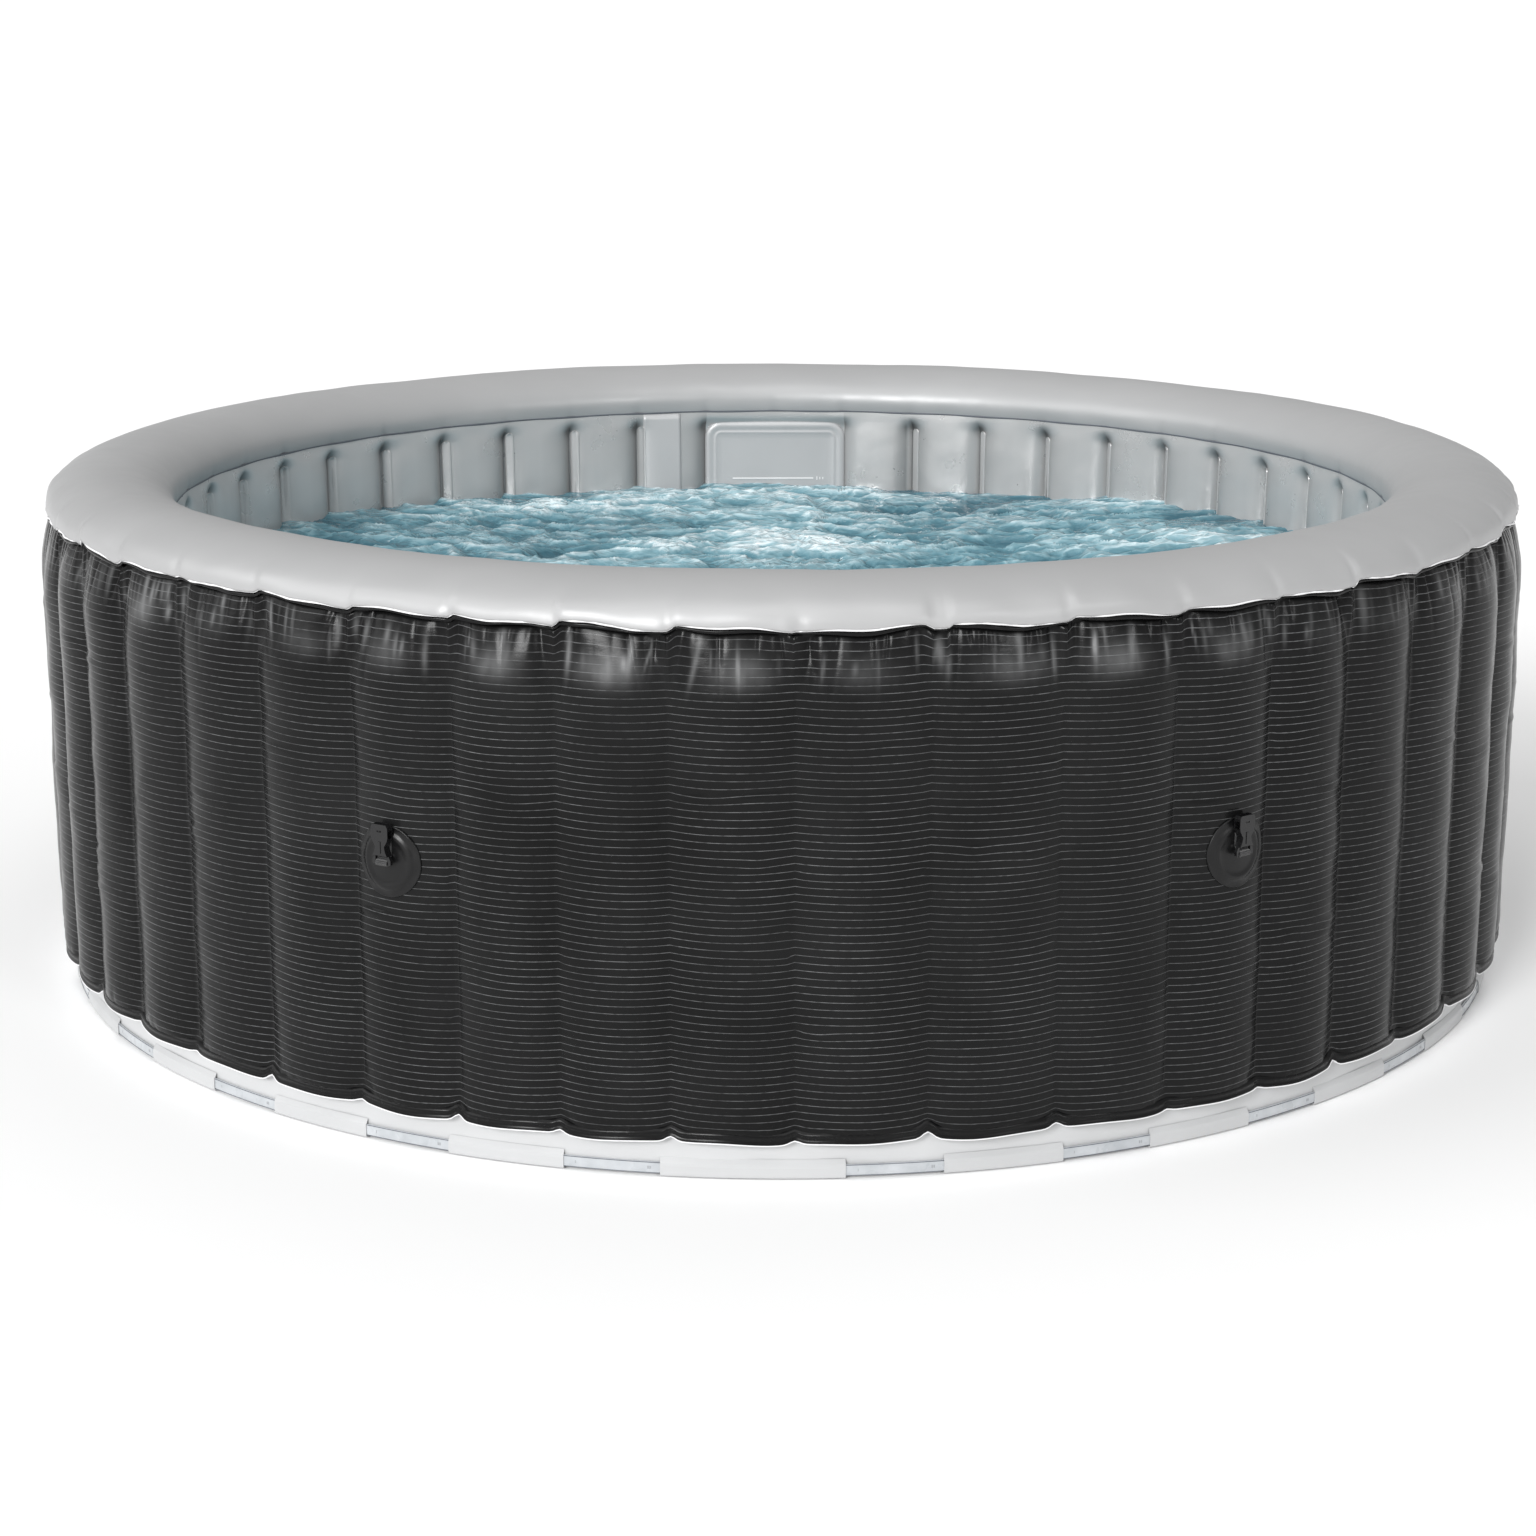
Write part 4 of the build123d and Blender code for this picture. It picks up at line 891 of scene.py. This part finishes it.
# ---- water ----
def water():
    """Churned surface that reaches the inner wall, with foam on the crests."""
    ring = Ring(columns(INNER_ACROSS))
    edge = inner_radius(ring, np.full_like(ring.angle, WATER_Z)) + 0.002
    radii = np.concatenate([np.linspace(0, 0.2, 24), np.linspace(0.204, 1, 230)])
    radii[0] = 0.001
    angle = np.linspace(-pi, pi, 1201)[:-1]
    turned = (ring.angle + pi) % (2 * pi)
    order = np.argsort(turned)
    reach = np.interp((angle + pi) % (2 * pi), turned[order], edge[order], period=2 * pi)
    r = radii[:, None] * reach[None, :]
    x, y = r * np.cos(angle), r * np.sin(angle)
    warp_x = (cloud(x * 7, y * 7, 81, 3) - 0.5) * 0.10
    warp_y = (cloud(x * 7 + 9, y * 7, 83, 3) - 0.5) * 0.10
    u, v = x + warp_x, y + warp_y
    ridge = 1 - np.abs(2 * cloud(u * 9, v * 21, 85, 3, 0.5) - 1) * 2.4
    chop = 1 - np.abs(2 * cloud(u * 24 + 3, v * 54, 87, 3, 0.5) - 1) * 2.0
    swell = cloud(u * 3.2, v * 4.5, 89, 2)
    calm = 0.45 + 0.55 * smooth(0, 0.10, reach[None, :] - r)
    height = (swell - 0.5) * 0.024 + ridge * 0.0120 + chop * 0.0052
    heap = 0.018 * smooth(0.30, 0.78, np.abs(x))
    z = WATER_Z + heap + (height - height.mean()) * calm
    crest = np.clip((height - height.min()) / (height.max() - height.min()), 0, 1)
    low, high = np.percentile(crest, (5, 97))
    crest = np.clip((crest - low) / (high - low), 0, 1)
    patch = cloud(u * 2.6 + 5, v * 3.4, 91, 3)
    line = smooth(0.55, 0.95, ridge) * smooth(0.35, 0.7, patch)
    foam = np.maximum(0.8 * smooth(0.76, 1.10, 0.62 * crest + 0.75 * patch * chop), 0.6 * line * crest)
    layers = {"crest": crest, "foam": foam}
    obj = skin_object("water_surface", np.stack([x, y, z], -1), attributes=layers, flip=True)
    return finish_piece(obj, M["water"], "liner_pvc")


# ---- port panel ----
def rounded_path(half_w, low, high, radius):
    """Outline of a rounded rectangle in x and z, anticlockwise."""
    points, steps = [], 8
    for cx, cz, start in ((half_w - radius, high - radius, 0), (-half_w + radius, high - radius, 90),
                          (-half_w + radius, low + radius, 180), (half_w - radius, low + radius, 270)):
        for i in range(steps + 1):
            a = radians(start + 90 * i / steps)
            points.append((cx + radius * cos(a), cz + radius * sin(a)))
    return np.array(points)


def port_panel():
    """Soft-edged panel: a raised bead and a lower one round a flat field."""
    low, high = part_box("inner_port_panel")
    back, half = high.y, (high.x - low.x) / 2 + PANEL_OVERLAP
    section = [(0.0, 0.0), (0.0006, 0.0022), (0.002, 0.0038), (0.0045, 0.0050), (0.007, 0.0054),
               (0.0095, 0.0052), (0.012, 0.0044), (0.014, 0.0040), (0.0155, 0.0040), (0.017, 0.0044),
               (0.0185, 0.0046), (0.020, 0.0042), (0.022, 0.0036), (0.030, 0.0034), (0.060, 0.0034)]
    rows = []
    for inset, proud in section:
        radius = max(0.028 - inset, 0.004)
        path = rounded_path(half - inset, low.z + inset, high.z - inset, radius)
        rows.append(np.stack([path[:, 0], np.full(len(path), back - proud), path[:, 1]], -1))
    obj = skin_object("port_panel_inside", np.array(rows))
    mesh = obj.data
    bm = bmesh.new()
    bm.from_mesh(mesh)
    bm.verts.ensure_lookup_table()
    bm.faces.new(bm.verts[-len(path):])
    bmesh.ops.recalc_face_normals(bm, faces=bm.faces)
    bm.to_mesh(mesh)
    bm.free()
    set_smooth(mesh)
    return finish_piece(obj, M["panel"], "panel_grey", "inner_port_panel")


def box_mesh(bm, centre, size):
    made = bmesh.ops.create_cube(bm, size=1.0)["verts"]
    bmesh.ops.transform(bm, matrix=Matrix.Translation(centre) @ Matrix.Diagonal((*size, 1)), verts=made)


def level_line():
    """White level line on the panel with plain ticks at its end."""
    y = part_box("inner_port_panel")[1].y - 0.0040
    bm = bmesh.new()
    box_mesh(bm, Vector((-0.003, y, LEVEL_Z)), (0.136, 0.0006, 0.0018))
    for i, tall in enumerate((0.006, 0.004, 0.004)):
        box_mesh(bm, Vector((0.071 + 0.005 * i, y, LEVEL_Z)), (0.0014, 0.0006, tall))
    bmesh.ops.bevel(bm, geom=bm.edges, offset=0.0002, segments=2, affect="EDGES")
    return mesh_piece("level_line", bm, M["mark"], "panel_grey", smooth_faces=False)


# ---- base ----
def base_skirt():
    ring = Ring(columns(even_shares(12)))
    foot = 0.006
    line = [(SKIRT_R, BASE_Z + 0.010), (SKIRT_R, BASE_Z)]
    line += [(SKIRT_R, z) for z in np.linspace(BASE_Z - 0.006, foot, 9)]
    line += [(SKIRT_R - foot + foot * cos(a), foot - foot * sin(a)) for a in np.linspace(0, pi / 2, 6)[1:]]
    line += [(r, 0.0) for r in np.linspace(SKIRT_R - 0.02, 0.8605, 8)]
    r, z = np.array(line).T[:, :, None]
    upright = smooth(0.0, 0.015, z) * (r > 0.99)
    r = r + ring.waver(14, z * 20, 95, 3, 0.004) * upright
    obj = skin_object("base_skirt_skin", around(ring.angle, r, z), flip=True)
    return finish_piece(thicken(obj, 0.001), M["base"], "base_pvc", "base_skirt")


SLEEVES = 24
SLEEVE_ARC = 8.3
FRONT_SLEEVE_ARC = 12.2
FRONT_SLEEVE = -98.6
DRAIN_ANGLE = chamber_angle(DRAIN_CHAMBER)
DRAIN_GAP = 1.9


def sleeve_spans():
    """Start and end of each sleeve; the front one is longer, and one is left out where the drain is."""
    extra = FRONT_SLEEVE_ARC - SLEEVE_ARC
    starts = [FRONT_SLEEVE + extra + i * (360 - extra) / SLEEVES for i in range(1, SLEEVES)]
    spans = [(FRONT_SLEEVE, FRONT_SLEEVE + FRONT_SLEEVE_ARC)] + [(a, a + SLEEVE_ARC) for a in starts]
    return [(a, b) for a, b in spans if a > DRAIN_ANGLE + DRAIN_GAP or b < DRAIN_ANGLE - DRAIN_GAP]


def arc_band(bm, section, start, end, steps):
    """Closed bar along an arc, its section a loop of (radius, height)."""
    rings = []
    for i in range(steps + 1):
        a = radians(start + (end - start) * i / steps)
        rings.append([bm.verts.new((r * cos(a), r * sin(a), z)) for r, z in section])
    n = len(section)
    for i in range(steps):
        for j in range(n):
            bm.faces.new((rings[i][j], rings[i][(j + 1) % n], rings[i + 1][(j + 1) % n], rings[i + 1][j]))
    bm.faces.new(rings[0][::-1])
    bm.faces.new(rings[-1])


def band_object(name, section, spans, material, slot, *nodes, smooth_faces=True):
    bm = bmesh.new()
    for start, end in spans:
        arc_band(bm, section, start, end, max(3, int((end - start) * 1.5)))
    bmesh.ops.recalc_face_normals(bm, faces=bm.faces)
    return mesh_piece(name, bm, material, slot, *nodes, smooth_faces=smooth_faces)


def soft_section(r0, r1, z0, z1, edge):
    """Rounded rectangle of (radius, height)."""
    points = []
    for cr, cz, start in ((r1 - edge, z1 - edge, 0), (r0 + edge, z1 - edge, 90),
                          (r0 + edge, z0 + edge, 180), (r1 - edge, z0 + edge, 270)):
        for i in range(4):
            a = radians(start + 30 * i)
            points.append((cr + edge * cos(a), cz + edge * sin(a)))
    return points


def light_strip():
    low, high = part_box("light_strip")
    r0, r1 = SKIRT_R + 0.0008, high.x
    around_drain = [(DRAIN_ANGLE + DRAIN_GAP, DRAIN_ANGLE + 360 - DRAIN_GAP)]
    band_object("light_strip_sleeve", soft_section(r0, r1, low.z, high.z, 0.0009), around_drain,
                M["strip"], "strip_clear", "light_strip")
    sleeves = sleeve_spans()
    windows = [(one[1], two[0]) for one, two in zip(sleeves, sleeves[1:] + [(FRONT_SLEEVE + 360, 0)])]
    windows = [(a, b) for a, b in windows if not a < DRAIN_ANGLE < b]
    for name, z in (("light_strip_line_top", high.z - 0.0012), ("light_strip_line_low", low.z + 0.0002)):
        band_object(name, soft_section(r1 - 0.001, r1 + 0.0004, z, z + 0.0008, 0.0002), windows,
                    M["ink"], "strip_clear")
    chips = [(b - 0.70 - side, b - 0.64 - side) for a, b in windows for side in (0, 0.14)]
    chips += [(a + 0.80, a + 0.83) for a, b in windows]
    mid = (low.z + high.z) / 2
    section = soft_section(r1 - 0.001, r1 + 0.0003, mid - 0.0018, mid + 0.0018, 0.0003)
    band_object("light_strip_chips", section, chips, M["chip"], "strip_clear")
    low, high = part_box("light_strip_loops")
    face = high.x
    outer = [(face - 0.0045, low.z), (face - 0.0016, low.z), (face - 0.0004, low.z + 0.0010),
             (face, low.z + 0.003), (face, low.z + 0.013), (face - 0.0006, low.z + 0.0165),
             (face - 0.0022, low.z + 0.0190), (face - 0.0045, high.z)]
    inner = [(face - 0.0045, high.z - 0.0010), (face - 0.0028, low.z + 0.0175),
             (face - 0.0010, low.z + 0.0130), (face - 0.0010, low.z + 0.002), (face - 0.0045, low.z + 0.0010)]
    band_object("light_strip_sleeves", outer + inner, sleeves, M["loop"], "base_pvc", "light_strip_loops",
                smooth_faces=False)


# ---- cover buckles ----
def chamber_arc_radius(k):
    half = (SEAMS[k % CHAMBERS + 1] - SEAMS[k % CHAMBERS]) / 2
    chord, depth = OUTER_SEAM_R * sin(half), OUTER_CREST_R - OUTER_SEAM_R * cos(half)
    return (chord**2 + depth**2) / (2 * depth)


def buckle_matrix(number):
    """Local x along the wall, y up and z out of it, its origin on the wall under the buckle's pivot."""
    joint = JOINTS[f"buckle_swing_{number}"]
    x, y = Vector(joint["axis"]), Vector((0, 0, 1))
    z = x.cross(y)
    matrix = Matrix((x, y, z)).transposed().to_4x4()
    matrix.translation = Vector(joint["pos_m"]) - z * BAR_OUT
    return matrix


# Radius and height of the patch: dished middle, raised ring, and a flange welded to the wall.
PATCH_PROFILE = ((0.0, 0.0020), (0.012, 0.0020), (0.022, 0.0021), (0.0265, 0.0026), (0.0290, 0.0037),
                 (0.0310, 0.0040), (0.0330, 0.0036), (0.0350, 0.0024), (0.0365, 0.0019), (0.0395, 0.0016),
                 (0.0415, 0.0016), (0.0424, 0.0019), (0.0430, 0.0014), (0.0432, 0.0002))


def buckle_patch(number, k):
    """Dished disc on its flange, wrapped over the chamber's bulge."""
    bend = chamber_arc_radius(k)
    turn = np.linspace(0, 2 * pi, 73)[:-1]
    radius, lift = (np.array(v)[:, None] for v in zip(*PATCH_PROFILE))
    spread = np.maximum(radius, 0.0004)
    u, v = spread * np.cos(turn), spread * np.sin(turn)
    ripple = 0.0004 * np.sin(9 * turn + number) * (radius > 0.036)
    points = np.stack([u, v, np.sqrt(bend**2 - u * u) - bend + lift + ripple], -1)
    obj = skin_object(f"buckle_patch_disc_{number}", points)
    obj.data.transform(buckle_matrix(number))
    return finish_piece(obj, M["patch"], "patch_black", f"buckle_patch_{number}")


def bevelled_cad(name, node, material, slot, body, width):
    """A copy of a CAD part with its sharp edges rounded over by this width."""
    mesh = NODES[node].data.copy()
    mesh.name = name
    bm = bmesh.new()
    bm.from_mesh(mesh)
    bmesh.ops.remove_doubles(bm, verts=bm.verts, dist=1e-5)
    bmesh.ops.dissolve_limit(bm, angle_limit=radians(2), verts=bm.verts, edges=bm.edges)
    bm.to_mesh(mesh)
    bm.free()
    obj = add_object(name, mesh)
    modifier = obj.modifiers.new("edge", "BEVEL")
    modifier.width = width
    modifier.segments = 2
    modifier.limit_method = "ANGLE"
    modifier.angle_limit = radians(35)
    modifier.harden_normals = False
    set_smooth(mesh)
    weighted = obj.modifiers.new("normals", "WEIGHTED_NORMAL")
    weighted.keep_sharp = True
    return finish_piece(obj, material, slot, node, body=body)


def valve_spring():
    """The air valve's spring as one fixed piece; on the valve it shortens between its seat and the head of
    the stem.
    """
    obj = add_object("valve_spring_coil", NODES["valve_spring"].data.copy())
    paint(obj, M["steel"])
    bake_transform(obj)
    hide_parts("valve_spring")


def cad_material(slot, material):
    """Better material on the CAD parts that stay."""
    for part in frame["record"]["subparts"]:
        obj = NODES[part["node"]]
        if part["material_slot"] == slot and not obj.hide_render:
            paint(obj, material)


# ---- build ----
top_rim()
outer_wall()
rim_lips()
base_lip()
inner_wall()
weld_tabs()
lap_strip()
inner_line()
port_panel()
level_line()
water()
base_skirt()
light_strip()
rim_mark()
for number, k in enumerate(BUCKLE_CHAMBERS, start=1):
    buckle_patch(number, k)
    bevelled_cad(f"buckle_{number}_shell", f"buckle_socket_{number}", M["buckle"], "buckle_plastic",
                 f"buckle_{number}", 0.0005)
valve_spring()
for slot, key in (("web_pvc", "web"), ("liner_pvc", "liner"), ("panel_grey", "panel"),
                  ("port_plastic", "port"), ("seal_rubber", "rubber"), ("channel_pvc", "channel"),
                  ("filter_paper", "paper"), ("valve_plastic", "valve"), ("webbing", "webbing")):
    cad_material(slot, M[key])


# ---- floor and light ----
def stage():
    bpy.ops.mesh.primitive_plane_add(size=700, location=(0, 0, 0))
    floor = bpy.context.object
    floor.name = "floor"
    m = Mat("floor_pale", (0.95, 0.95, 0.95), 0.8)
    m.color(m.ramp(m.noise(0.4, 2), [(0.3, (0.94, 0.94, 0.94)), (0.7, (0.96, 0.96, 0.96))]))
    floor.data.materials.append(m.material)
    world = bpy.data.worlds.new("studio")
    bpy.context.scene.world = world
    world.use_nodes = True
    world.node_tree.nodes["Background"].inputs["Color"].default_value = (1, 1, 1, 1)
    world.node_tree.nodes["Background"].inputs["Strength"].default_value = 0.52
    bpy.context.scene.view_settings.view_transform = "Standard"


def soft_sun(name, bearing, elevation, spread, strength):
    """Broad light from far away; bearing 0 is straight in front, and positive is to the right."""
    data = bpy.data.lights.new(name, "SUN")
    data.angle = radians(spread)
    data.energy = strength * pi
    obj = add_object(name, data)
    obj.rotation_euler = (radians(90 - elevation), 0, radians(bearing))


stage()
soft_sun("key", -27, 24, 18, 0.70)
soft_sun("left", -80, 28, 40, 0.26)
soft_sun("fill", 36, 24, 12, 0.12)
soft_sun("top", 0, 64, 40, 0.20)
